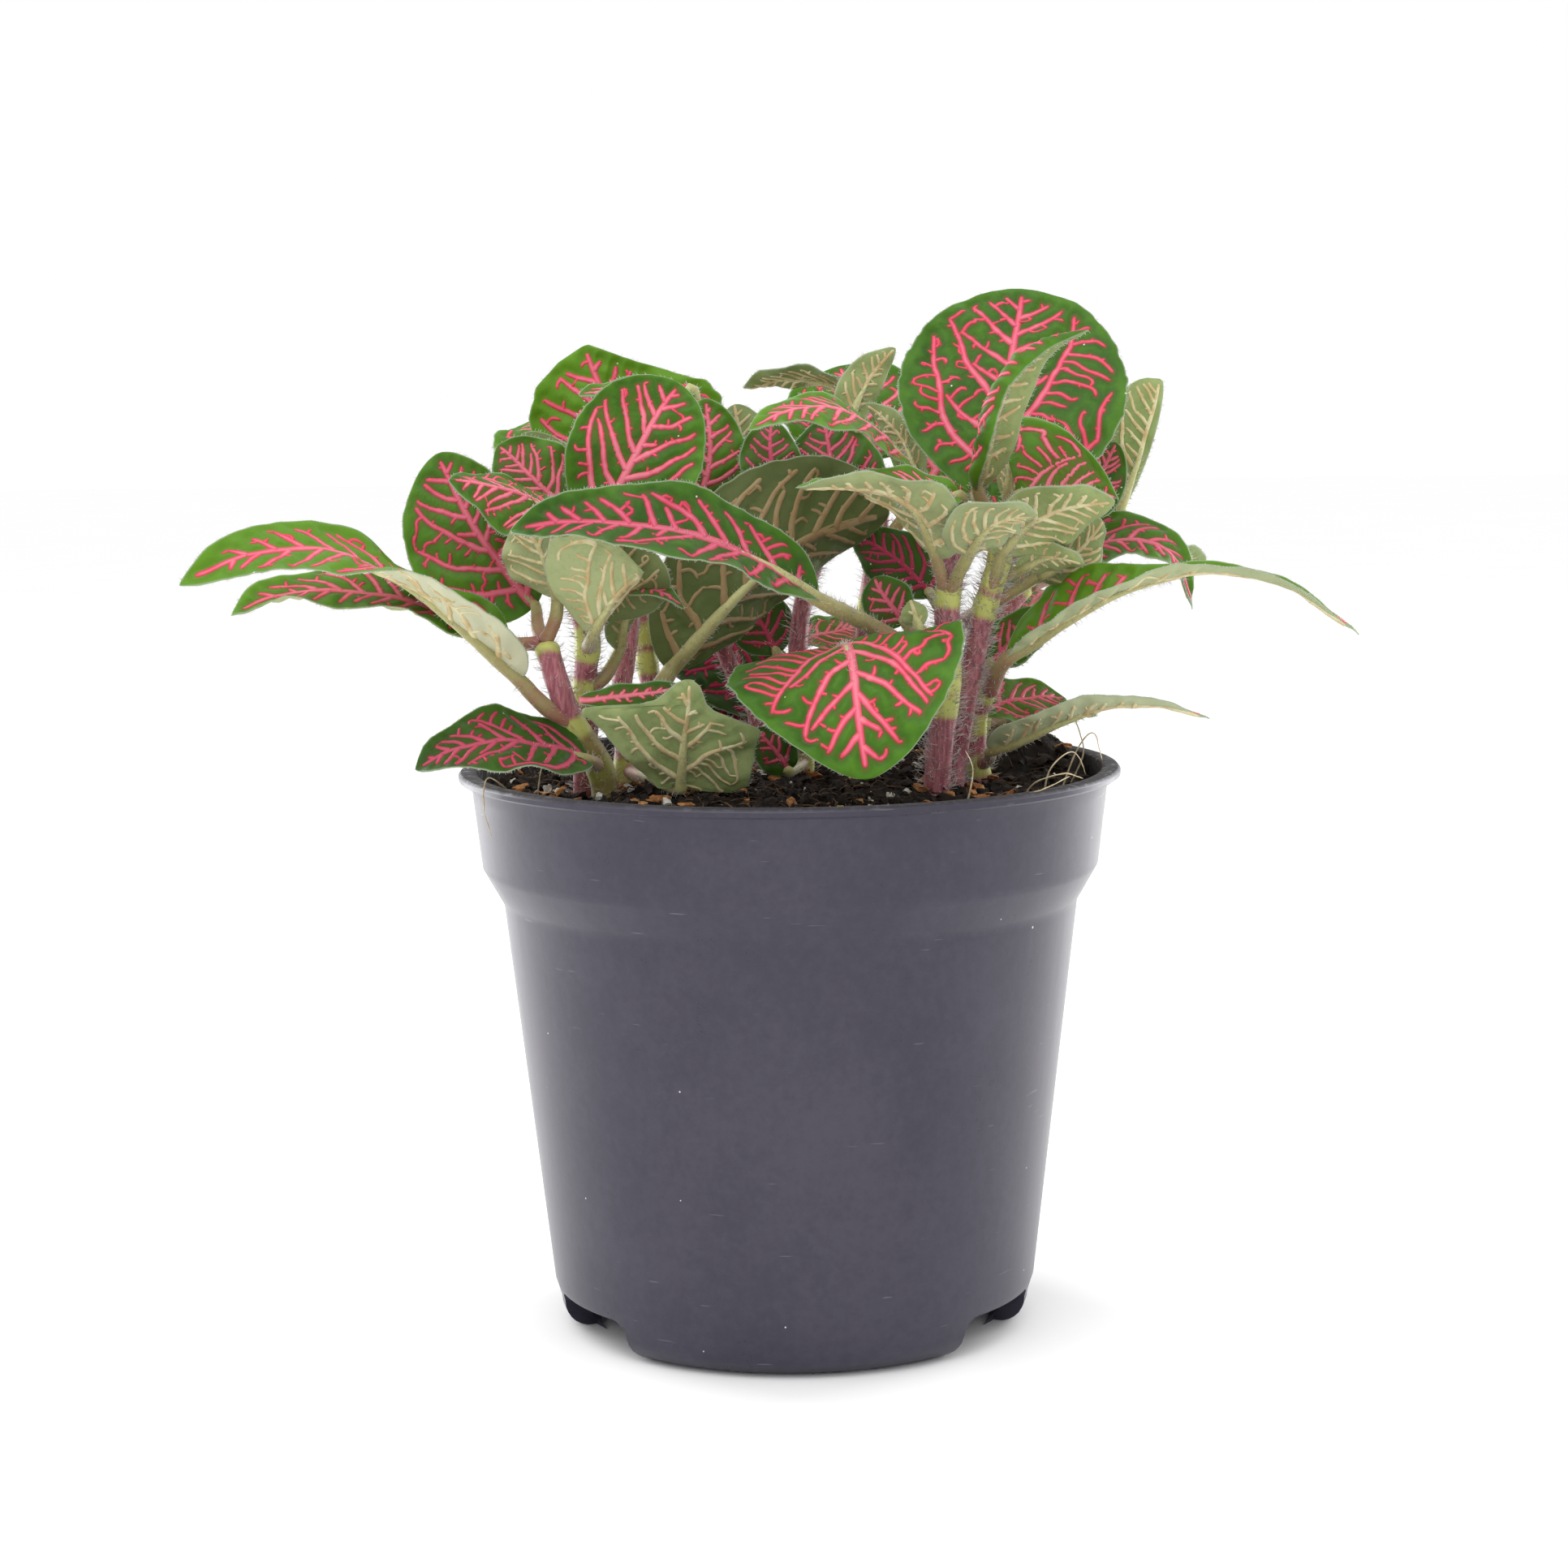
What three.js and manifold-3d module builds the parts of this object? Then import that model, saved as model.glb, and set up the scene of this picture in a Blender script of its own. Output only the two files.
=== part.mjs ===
// A potted nerve plant: a nursery pot filled with peat, and twelve leafy shoots standing in it.
// Millimetres, +Z up. The origin is the centre of the circle on which the pot's feet stand,
// and the plant's front, seen from -Y, faces the viewer.

import * as THREE from "three";
import { mergeVertices } from "three/addons/utils/BufferGeometryUtils.js";
import Module from "manifold-3d";

// Driving dimensions of the pot.
const RIM_RADIUS = 45;
const RIM_TOP = 76.7;
const LIP_THICKNESS = 1.2;
const COLLAR_RADIUS = 43.3;
const COLLAR_FOOT_RADIUS = 42;
const COLLAR_FOOT = 63.7;
const BODY_TOP_RADIUS = 39.2;
const BODY_TOP = 58.7;
const BODY_FOOT_RADIUS = 33.2;
const FLOOR_BOTTOM = 5.5;
const FLOOR_TOP = 6.5;
const FOOT_RADIUS = 32.4;
const FOOT_BEND = 4;
const WALL = 0.9;
const POT_SIDES = 40;

// The foot ring is cut by three notches, and the floor has a drain hole behind each of them.
const NOTCH_WIDTH = 18;
const NOTCH_CORNER = 2;
const NOTCH_ANGLES = [60, 180, 300];
const NOTCH_DEPTH = 12;
const DRAIN_RADIUS = 3.5;
const DRAIN_CENTRE = 21;
const DRAIN_SIDES = 12;

// The soil, its relief and the holes that the stems stand in.
const SOIL_TOP = 73.6;
const SOIL_CROWN = 1;
const SOIL_RELIEF = 0.55;
const SOIL_RINGS = 4;
const SOIL_SIDES = 30;
const GAP = 0.3;
const ROOT_DEPTH = 10;
const HOLE_PLAY = 0.7;
const HOLE_SIDES = 10;

// Leaves and stalks.
const BLADE = 0.65;
const END_WIDTH = 0.02;
const STEM_SIDES = 7;
const STALK_SIDES = 5;
const STALK_RADIUS = 0.95;
const STALK_SINK = 0.07;
const BROAD = 7;
const WELD = 1e-4;

// Blade outlines: the powers with which the width grows from the base and shrinks to the tip.
const OVATE = { base: 0.58, tip: 0.72 };
const ROUND = { base: 0.6, tip: 0.6 };
const BLUNT = { base: 0.5, tip: 0.55 };
const TAPERED = { base: 0.5, tip: 0.8 };
const LANCE = { base: 0.5, tip: 1 };
const LONG_TIP = { base: 0.45, tip: 1.4 };
const SHOULDERED = { base: 0.33, tip: 0.65 };
const FAN = { base: 0.75, tip: 0.42 };
const HALF_MOON = { base: 0.15, tip: 1.1 };

const TAU = 2 * Math.PI;
const radians = THREE.MathUtils.degToRad;

const wasm = await Module();
wasm.setup();

// Each shoot is a stem with its leaves. A stem is its path above the soil, from the foot up, and
// its radius. A leaf is its midrib from base to tip, the half widths left
// and right of it as the upper side is seen with the tip up, the direction that the upper side
// faces at mid length, and its stalk from the stem. Fold lifts a half blade, curl rolls it up,
// twist turns the tip against the base, and wave is the height of the margin's waves.
const SHOOTS = {
  shoot_left_front: {
    stem: [[-24.5, -14, 74], [-25.5, -15, 79.5], [-28.5, -16, 84.5], [-30.5, -17, 90.5], [-32, -16, 95.5]],
    radius: 1.8,
    leaves: [
      {
        midrib: [[-35, -19, 90.5], [-48, -22, 104], [-60.5, -27, 108], [-76.3, -34, 104.3]],
        half: [9.5, 7.5], face: [0.05, -0.25, 0.95], outline: TAPERED, twist: 75, fold: [8, 5], wave: 0.6,
        stalk: [[-28, -16, 84], [-32, -18, 87]], stalkRadius: 1.15,
      },
      {
        midrib: [[-36.5, -14, 95], [-48.5, -16.5, 100.5], [-61, -18.5, 102.5], [-72, -21.5, 99.5]],
        half: [4.5, 7], face: [0, -0.45, 0.9], outline: TAPERED, fold: [4, 4], wave: 0.9,
        stalk: [[-32, -16, 95]],
      },
      {
        midrib: [[-33.5, -10, 99.5], [-40, -8, 107.5], [-47, -3, 119.5]],
        half: [10.5, 7.5], face: [-0.25, -0.93, 0.25], outline: ROUND, fold: [5, 5], wave: 0.5,
        stalk: [[-32, -16, 95], [-33, -13, 97]],
      },
      {
        midrib: [[-30, -17.5, 101], [-31.5, -20, 106.5], [-34.5, -21.5, 111.5]],
        half: [6.5, 6], face: [0.1, 0.9, 0.35], outline: ROUND, fold: [10, 10], wave: 0.5,
        stalk: [[-32, -16, 95], [-30.5, -17, 98]],
      },
      {
        midrib: [[-26, -20, 80], [-33.5, -24, 83], [-41, -27, 83], [-48, -28, 80]],
        half: [7, 7.5], face: [-0.03, -0.5, 0.85], outline: TAPERED, fold: [3, 3], wave: 0.5,
        stalk: [[-25, -14.5, 78.5]],
      },
    ],
  },
  shoot_left: {
    stem: [
      [-27.5, -9, 74], [-27, -10, 83], [-27, -12, 89.5], [-26.5, -13, 95.5], [-28.5, -11, 102.5],
      [-28.5, -8, 108.5],
    ],
    radius: 1.6,
    leaves: [
      {
        midrib: [[-28.5, -10.5, 111], [-36, -13.5, 115], [-44, -16.5, 116.5]],
        half: [7, 7], face: [-0.1, -0.6, 0.8], outline: TAPERED, fold: [-25, -25], wave: 0.4,
        stalk: [[-28.5, -8, 108]],
      },
      {
        midrib: [[-30.5, -3, 112.5], [-34.5, -1.5, 116.5], [-39, 1, 120.5]],
        half: [5, 6], face: [-0.1, -0.9, 0.4], wave: 0.5, stalk: [[-28.5, -8, 108]],
      },
      {
        midrib: [[-32, 4, 110.5], [-33.5, 6, 115.5], [-36, 9, 122]],
        half: [6.5, 7], face: [0.1, 0.95, 0.2], wave: 0.4, stalk: [[-28.5, -8, 107.5], [-30, -3, 108.5]],
      },
      {
        midrib: [[-25.5, -15.5, 98], [-24, -16.5, 104.5], [-23, -17, 110]],
        half: [5.5, 5], face: [0, 0.95, 0.1], wave: 0.3, stalk: [[-26.5, -13, 95.5]],
      },
      {
        midrib: [[-25.5, -19, 96], [-22.5, -23.5, 101], [-19, -25, 106]],
        half: [6, 11], face: [0, 0.98, 0.1], outline: FAN, fold: [80, 0], wave: 0.4,
        stalk: [[-26.5, -13, 94]],
      },
      {
        midrib: [[-22.5, -10, 93.5], [-21.5, -12.5, 99.5], [-18.5, -15.5, 102], [-13.5, -18.5, 99.5]],
        half: [2.5, 3.5], face: [0.5, 0, 0.9], wave: 0.3, stalk: [[-27, -12, 88.5], [-24.5, -12, 90]],
      },
      {
        midrib: [[-24.5, -9, 109], [-20, -8, 119.5], [-14, -3, 128.5]],
        half: [9, 9], face: [0.1, -0.97, 0.2], outline: ROUND, fold: [4, 4], wave: 0.5,
        stalk: [[-28.5, -11, 103], [-26, -10, 105.5]],
      },
    ],
  },
  shoot_centre_left: {
    stem: [[-22.5, -6, 74], [-22, -6, 79], [-22.5, -5, 87.5], [-21.5, -1, 98.5], [-25, 4, 108]],
    radius: 1.5,
    leaves: [
      {
        midrib: [[-16, -4, 90], [-6, -4, 101], [3.5, -1, 108], [14, 3, 110.5]],
        half: [12, 12.3], face: [-0.2, 0.95, 0.2], outline: BLUNT, fold: [45, 8], wave: 0.7,
        stalk: [[-22, -6, 77], [-19.5, -7, 84.5]], stalkRadius: 1.3,
      },
      {
        midrib: [[-28.5, 8, 113], [-23, 12, 121], [-11.5, 14, 126]],
        half: [13, 8], face: [0, -0.93, 0.35], outline: TAPERED, fold: [3, 3], wave: 0.6,
        stalk: [[-25, 4, 107.5]],
      },
      {
        midrib: [[-14.5, -20, 76.5], [-13.5, -24, 84], [-12.7, -27, 91]],
        half: [12.5, 13.5], face: [0, 0.75, 0.65], outline: FAN, curl: [0, -60], wave: 1,
        stalk: [[-22, -6, 77], [-18.5, -13, 76.8]],
      },
    ],
  },
  shoot_centre: {
    stem: [[-6, 8, 74], [-4.5, 8, 82.5], [-8, 8, 89.5], [-10, 6, 95.5], [-11.5, 4, 103.5]],
    radius: 1.3,
    leaves: [
      {
        midrib: [[-12.5, 9, 127], [-20, 5.5, 128], [-28, 2, 127]],
        half: [4, 4], face: [0, -0.3, 0.95], wave: 0.3, stalk: [[-11, 4, 102.5], [-11.5, 9, 114.5]],
      },
      {
        midrib: [[-13, 2, 110], [-10.5, 3, 118], [-11, 6, 126.5]],
        half: [7.5, 5.5], face: [0.1, -0.95, 0.3], wave: 0.4, stalk: [[-11.5, 4, 103]],
      },
      {
        midrib: [[-1, 1, 114.5], [-2, 1, 118.5], [-2, 3.5, 123.5]],
        half: [4.5, 4], face: [0, -0.95, 0.2], wave: 0.4, stalk: [[-11, 5, 101], [-6, 5, 107.5]],
      },
      {
        midrib: [[-6, 10, 118.5], [-6.5, 11, 122], [-7, 13, 125.5]],
        half: [4, 4], face: [0, 0.95, 0.2], wave: 0.4, stalk: [[-11.5, 4, 103], [-9, 8, 111]],
      },
    ],
  },
  shoot_centre_back: {
    stem: [
      [2, 5, 74], [1.5, 6, 83], [1.5, 8, 94], [3.5, 10, 103], [7, 12, 109.5], [8.5, 14, 116],
    ],
    radius: 1.4,
    leaves: [
      {
        midrib: [[11, 20, 127], [2.5, 24, 129], [-6, 28, 127.5]],
        half: [5, 5], face: [0, 0.35, 0.93], outline: TAPERED, wave: 0.3,
        stalk: [[8.5, 14, 115.5], [10.5, 17, 123]],
      },
      {
        midrib: [[3, -10, 83.5], [-1, -14, 85], [-4.5, -15, 88.5]],
        half: [3, 3], face: [0, -0.7, 0.6], wave: 0.3, stalk: [[1.5, 5, 78.5], [3, -3, 81]],
      },
      {
        midrib: [[0, -2, 76], [-2, -3, 79], [-4.5, -2, 82]],
        half: [3, 3], face: [0, -0.9, 0.3], wave: 0.3, stalk: [[2, 5, 76.5]],
      },
      {
        midrib: [[-1.5, 9.5, 91], [-4, 11, 95.5], [-7, 12.5, 99.5]],
        half: [4.5, 4.5], face: [0, -0.9, 0.3], wave: 0.4, stalk: [[1.5, 6, 86.5]],
      },
      {
        midrib: [[7, 7, 110], [6.5, 9, 116.5], [5, 13, 123.5]],
        half: [7, 7], face: [0, -0.95, 0.2], wave: 0.5, stalk: [[6, 11, 108]],
      },
      {
        midrib: [[8.5, 14, 121.5], [11, 16, 127.5], [15.5, 20, 133]],
        half: [3.5, 5], face: [0.1, 0.95, 0.2], wave: 0.4, stalk: [[8.5, 14, 115.5]],
      },
      {
        midrib: [[18, 4, 114], [16.5, 6, 120], [11, 10, 125.5]],
        half: [3.5, 4], face: [0.3, 0.8, 0.5], wave: 0.4, stalk: [[7, 12, 109.5], [12.5, 8, 111.5]],
      },
      {
        midrib: [[1.5, 25, 91.5], [7, 28, 92.5], [11, 31, 93]],
        half: [4, 4], face: [0, -0.6, 0.8], wave: 0.3, stalk: [[1.5, 7, 88.5], [1.5, 18, 90.5]],
      },
    ],
  },
  shoot_right_front: {
    stem: [
      [19.5, -12, 74], [20, -12, 80.5], [21, -12, 89], [21, -12, 99.5], [22, -12, 105],
      [22.5, -10, 111],
    ],
    radius: 1.8,
    leaves: [
      {
        midrib: [[7, -19, 93.5], [7.5, -28.5, 95], [8.5, -36, 89.5], [9.5, -39, 79.5]],
        half: [15, 16], face: [-0.15, -0.8, 0.6], outline: SHOULDERED, fold: [-3, -3], wave: 0.4,
        stalk: [[20.5, -12, 86], [14, -16, 90]], stalkRadius: 1.2,
      },
      {
        midrib: [[4, -24, 101], [-7, -29, 108], [-20.5, -32, 111.5], [-35, -30, 110.5]],
        half: [7.5, 7], face: [0, -0.55, 0.83], outline: OVATE, fold: [3, 20], wave: 0.5,
        stalk: [[21, -12, 89], [13, -14.5, 95.5]], stalkRadius: 1.2,
      },
      {
        midrib: [[15.5, -12.5, 97], [13, -12.5, 100], [11.5, -11, 103]],
        half: [3.5, 3.5], face: [-0.1, -0.95, 0.2], wave: 0.2, stalk: [[20.5, -12, 90]],
      },
      {
        midrib: [[17, -15, 96.5], [16.5, -16, 98.5], [16, -15, 100]],
        half: [1.8, 1.8], face: [-0.1, 0.95, 0.2], wave: 0.1, stalk: [[21, -12, 93]],
      },
      {
        midrib: [[19.5, -15.5, 105.5], [16.5, -21.5, 112.5], [10.5, -26, 115.5], [1, -29, 115.5]],
        half: [6, 9], face: [0.1, 0.45, 0.9], outline: TAPERED, fold: [0, 20], wave: 0.5,
        stalk: [[21, -12, 100.5]],
      },
      {
        midrib: [[23.5, -17, 106], [26.5, -22, 110.5], [32, -24, 111.5]],
        half: [4.5, 6], face: [-0.1, 0.6, 0.8], wave: 0.5, stalk: [[21, -12, 100.5]],
      },
      {
        midrib: [[23, -13, 113.5], [16, -15.5, 115], [8.5, -17, 116]],
        half: [4, 4], face: [0, -0.6, 0.8], wave: 0.4, stalk: [[22.5, -10, 110]],
      },
      {
        midrib: [[17, -6, 116.5], [10.5, -10, 123.5], [3, -13, 125.5], [-5, -16, 122.5]],
        half: [6, 6.5], face: [-0.05, -0.4, 0.9], outline: TAPERED, fold: [-8, -8], wave: 0.4,
        stalk: [[22.5, -10, 110], [20.5, -7, 114]],
      },
    ],
  },
  shoot_right_tall: {
    stem: [
      [22, -6, 74], [22.5, -6, 79.5], [24, -8, 88.5], [26, -10, 98], [28, -11, 105], [28.5, -10, 110.5],
    ],
    radius: 1.7,
    leaves: [
      {
        midrib: [[25.5, -6, 113.5], [30, 4, 127], [33, 18, 141]],
        half: [15.5, 17], face: [0, -0.75, 0.66], outline: ROUND, fold: [3, 3], wave: 0.8,
        stalk: [[28.5, -11, 107], [26.5, -8, 111]], stalkRadius: 1.3,
      },
      {
        midrib: [[25, -12, 114.5], [27, -15, 123.5], [30.5, -17, 131], [39, -20, 135]],
        half: [4, 7], face: [-0.2, 0.9, 0.3], outline: TAPERED, curl: [0, -150], wave: 0.3,
        stalk: [[28.5, -11, 107]],
      },
      {
        midrib: [[29.5, -7.5, 112], [30, -7.5, 118.5], [30.5, -6.5, 126]],
        half: [2.5, 2.5], face: [0.1, 0.9, 0.2], fold: [30, 30], wave: 0.2, stalk: [[28.5, -10, 109]],
      },
      {
        midrib: [[30.5, -11.5, 113.5], [37, -12.5, 114.5], [43.5, -14, 113]],
        half: [11, 2.5], face: [-0.1, -0.9, 0.4], outline: HALF_MOON, wave: 0.3, stalk: [[28.5, -10, 110]],
      },
      {
        midrib: [[39, 0, 110], [42, 1.5, 114.5], [45, 5, 120]],
        half: [5, 4], face: [-0.1, -0.95, 0.2], wave: 0.3, stalk: [[28, -10.5, 105], [34, -3.5, 106]],
      },
      {
        midrib: [[28, -13.5, 105.5], [33, -16.5, 111], [42.5, -19, 113]],
        half: [6.5, 5], face: [0, 0.75, 0.6], wave: 0.5, stalk: [[26.5, -10, 99]],
      },
      {
        midrib: [[33, -7.5, 102.5], [38.5, -8, 106], [42, -6, 110]],
        half: [4.5, 3.8], face: [0, 0.8, 0.5], wave: 0.4, stalk: [[26.5, -10, 99]],
      },
      {
        midrib: [[30.5, -10.5, 103.5], [34.5, -12.5, 105.5], [39, -14.5, 104.5]],
        half: [2.5, 2.5], face: [0, 0.8, 0.5], wave: 0.3, stalk: [[27.5, -10, 102.5]],
      },
    ],
  },
  shoot_right_low: {
    stem: [[26, -2, 74], [25.5, -2, 77], [25.5, -2.5, 83.5], [27, -4.5, 87.5]],
    radius: 1.5,
    leaves: [
      {
        midrib: [[28.5, -11, 91.5], [42.5, -15, 101.5], [58.4, -17, 104.3], [74.6, -17, 95.1]],
        half: [7, 5.5], face: [-0.05, 0, 1], outline: LONG_TIP, fold: [24, 20], wave: 0.4,
        stalk: [[27, -4.5, 87]], stalkRadius: 1.2,
      },
      {
        midrib: [[27, -8, 79.5], [35.5, -11, 84], [45, -13, 86.5], [55.5, -15, 84]],
        half: [4.5, 4.5], face: [-0.05, 0.2, 0.95], outline: LONG_TIP, fold: [28, 28], wave: 0.3,
        stalk: [[25.7, -2, 76.5], [27, -5, 78]],
      },
      {
        midrib: [[26, 0, 83.5], [32, 4, 85], [38.5, 8, 84.5]],
        half: [5, 5], face: [0, -0.6, 0.8], wave: 0.4, stalk: [[25.5, -2.5, 82.5]],
      },
      {
        midrib: [[27, -3.5, 90.5], [31, -3, 94], [36, -1.5, 97.5]],
        half: [4, 3.5], face: [-0.2, -0.85, 0.5], wave: 0.4, stalk: [[27, -4.5, 87.5]],
      },
    ],
  },
  shoot_right_back: {
    stem: [[20, 12, 74], [21, 12, 80], [22, 12, 89], [24, 10, 95.5]],
    radius: 1.5,
    leaves: [
      {
        midrib: [[29.5, 4, 99], [41.5, 2, 106], [50.5, 0, 106], [54.5, -3, 97.5]],
        half: [7.5, 7], face: [0, -0.5, 0.85], outline: LANCE, wave: 0.4, stalk: [[24, 10, 95]],
      },
      {
        midrib: [[46.5, 14, 109], [49, 16, 118], [53, 20, 128]],
        half: [3, 5], face: [0.2, 0.9, 0.2], wave: 0.4, stalk: [[24, 10, 95], [36, 13, 102.5]],
      },
      {
        midrib: [[20, 6, 99], [15, 8, 104], [9, 10, 107.5]],
        half: [5, 5], face: [0, -0.7, 0.6], wave: 0.4, stalk: [[23.5, 10, 93.5]],
      },
    ],
  },
  shoot_back_left: {
    stem: [[-18, 16, 74], [-20, 18, 90], [-22, 21, 104], [-23, 24, 112]],
    radius: 1.5,
    leaves: [
      {
        midrib: [[-26, 26.5, 114.5], [-32, 33, 121], [-37, 44, 123]],
        half: [11, 11], face: [-0.1, -0.55, 0.83], fold: [5, 5], stalk: [[-23, 24, 111.5]],
      },
      {
        midrib: [[-25, 22, 99], [-34, 27, 103], [-46, 33, 99]],
        half: [8.5, 8.5], face: [-0.1, 0.1, 0.98], fold: [6, 6], stalk: [[-20.5, 18.5, 93]],
      },
      {
        midrib: [[-19, 24, 94], [-18, 34, 99], [-16, 45.5, 96]],
        half: [9, 9], face: [0, 0.05, 1], fold: [6, 6], stalk: [[-20, 18, 89]],
      },
      {
        midrib: [[-20.5, 24, 114], [-18, 26, 119.5], [-17, 30, 126]],
        half: [7, 7], face: [0.1, -0.95, 0.3], fold: [5, 5], stalk: [[-23, 24, 111.5]],
      },
      {
        midrib: [[-23, 19, 81], [-34, 25, 83], [-47, 32, 80]],
        half: [8, 8], face: [-0.1, 0.1, 0.98], fold: [4, 4], stalk: [[-18, 16, 78]],
      },
    ],
  },
  shoot_back: {
    stem: [[10, 22, 74], [11, 24, 92], [13, 26, 106], [14, 27, 114]],
    radius: 1.5,
    leaves: [
      {
        midrib: [[13, 29.5, 117], [11, 35, 124], [8, 44, 130.5]],
        half: [12, 12], face: [0, -0.6, 0.8], fold: [4, 4], stalk: [[14, 27, 113.5]],
      },
      {
        midrib: [[15, 28.5, 101], [22.5, 35.5, 105], [33, 44, 102.5]],
        half: [8.5, 8.5], face: [0.1, 0.1, 0.98], fold: [6, 6], stalk: [[11.5, 24.5, 96]],
      },
      {
        midrib: [[8, 27.5, 86], [4, 36.5, 87.5], [-1, 46, 84]],
        half: [9, 9], face: [0, 0.1, 1], fold: [6, 6], stalk: [[10.5, 23, 83]],
      },
      {
        midrib: [[19, 26, 112], [24, 29, 119], [30, 36, 125]],
        half: [9, 9], face: [0.2, -0.7, 0.6], fold: [4, 4], stalk: [[13, 25.5, 104]],
      },
      {
        midrib: [[13, 27, 81], [20, 34.5, 83], [28, 43, 79.5]],
        half: [8, 8], face: [0, 0.1, 1], fold: [4, 4], stalk: [[10, 22, 78]],
      },
    ],
  },
  shoot_back_right: {
    stem: [[30, 14, 74], [32, 16, 88], [34, 18, 100]],
    radius: 1.5,
    leaves: [
      {
        midrib: [[39, 21, 101], [48, 27, 105], [61, 35, 101]],
        half: [8, 8], face: [0.1, 0.1, 0.98], fold: [6, 6], stalk: [[34, 18, 99.5]],
      },
      {
        midrib: [[34, 22, 93], [38, 32.5, 95], [43.5, 44, 90]],
        half: [8, 8], face: [0.1, 0.2, 0.98], fold: [6, 6], stalk: [[32, 16, 88]],
      },
      {
        midrib: [[35, 18, 83], [43, 23, 85], [53, 30, 80]],
        half: [7.5, 7.5], face: [0.1, 0.1, 0.98], fold: [4, 4], stalk: [[30.5, 14.5, 79]],
      },
      {
        midrib: [[34, 20, 104], [36, 24, 112], [38, 31, 120]],
        half: [8.5, 8.5], face: [0.1, -0.8, 0.5], fold: [4, 4], stalk: [[34, 18, 99.5]],
      },
    ],
  },
};

const vector = (point) => new THREE.Vector3(...point);

// A closed geometry as a solid that can be joined and cut.
function solidOf(geometry) {
  const bare = new THREE.BufferGeometry().setAttribute("position", geometry.getAttribute("position"));
  bare.setIndex(geometry.getIndex());
  const welded = mergeVertices(bare, WELD);
  const vertProperties = welded.attributes.position.array;
  const triVerts = new Uint32Array(welded.index.array);
  return new wasm.Manifold(new wasm.Mesh({ numProp: 3, vertProperties, triVerts }));
}

// A solid as a geometry with flat faces.
function geometryOf(solid) {
  const { vertProperties, triVerts, numProp, numVert } = solid.getMesh();
  const positions = new Float32Array(numVert * 3);
  for (let i = 0; i < numVert; i++) {
    positions.set(vertProperties.subarray(i * numProp, i * numProp + 3), i * 3);
  }
  const geometry = new THREE.BufferGeometry();
  geometry.setAttribute("position", new THREE.BufferAttribute(positions, 3));
  geometry.setIndex(new THREE.BufferAttribute(triVerts, 1));
  geometry.computeVertexNormals();
  return geometry;
}

function meshOf(name, solid, material) {
  const mesh = new THREE.Mesh(geometryOf(solid), material);
  mesh.name = name;
  return mesh;
}

// A geometry of rings of points, each ring joined to the next. An end ring is closed by a strip
// that joins its first half to its second half.
function ringsGeometry(rings) {
  const sides = rings[0].length;
  const positions = rings.flat().flatMap((point) => point.toArray());
  const index = [];
  for (let ring = 0; ring + 1 < rings.length; ring++) {
    for (let side = 0; side < sides; side++) {
      const next = (side + 1) % sides;
      const a = ring * sides + side;
      const b = ring * sides + next;
      index.push(a, b, b + sides, a, b + sides, a + sides);
    }
  }
  const last = (rings.length - 1) * sides;
  for (let side = 0; 2 * side + 2 < sides; side++) {
    const [a, b, c, d] = [side, side + 1, sides - 2 - side, sides - 1 - side];
    index.push(a, c, b, a, d, c, last + a, last + b, last + c, last + a, last + c, last + d);
  }
  const geometry = new THREE.BufferGeometry();
  geometry.setAttribute("position", new THREE.Float32BufferAttribute(positions, 3));
  geometry.setIndex(index);
  return geometry;
}

// A round bar along a smooth curve through the points.
function bar(points, radius, sides, steps) {
  const section = new THREE.Shape();
  section.setFromPoints(Array.from({ length: sides }, (_, side) => {
    const angle = (TAU * side) / sides;
    return new THREE.Vector2(radius * Math.cos(angle), radius * Math.sin(angle));
  }));
  const extrudePath = new THREE.CatmullRomCurve3(points);
  return solidOf(new THREE.ExtrudeGeometry(section, { steps, extrudePath, bevelEnabled: false }));
}

// The point at t on the polynomial curve through evenly spaced points.
function along(points, t) {
  const last = points.length - 1;
  const result = new THREE.Vector3();
  points.forEach((point, i) => {
    let weight = 1;
    for (let j = 0; j <= last; j++) {
      if (j !== i) weight *= (t * last - j) / (i - j);
    }
    result.addScaledVector(vector(point), weight);
  });
  return result;
}

function tangentAt(points, t) {
  const step = 1e-3;
  return along(points, t + step).sub(along(points, t - step)).normalize();
}

// The blade's half width at u, as a part of its greatest half width.
function outlineAt({ base, tip }, u) {
  const widest = base / (base + tip);
  const most = widest ** base * (1 - widest) ** tip;
  return ((u + END_WIDTH) ** base * (1 - u + END_WIDTH) ** tip) / most;
}

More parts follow.
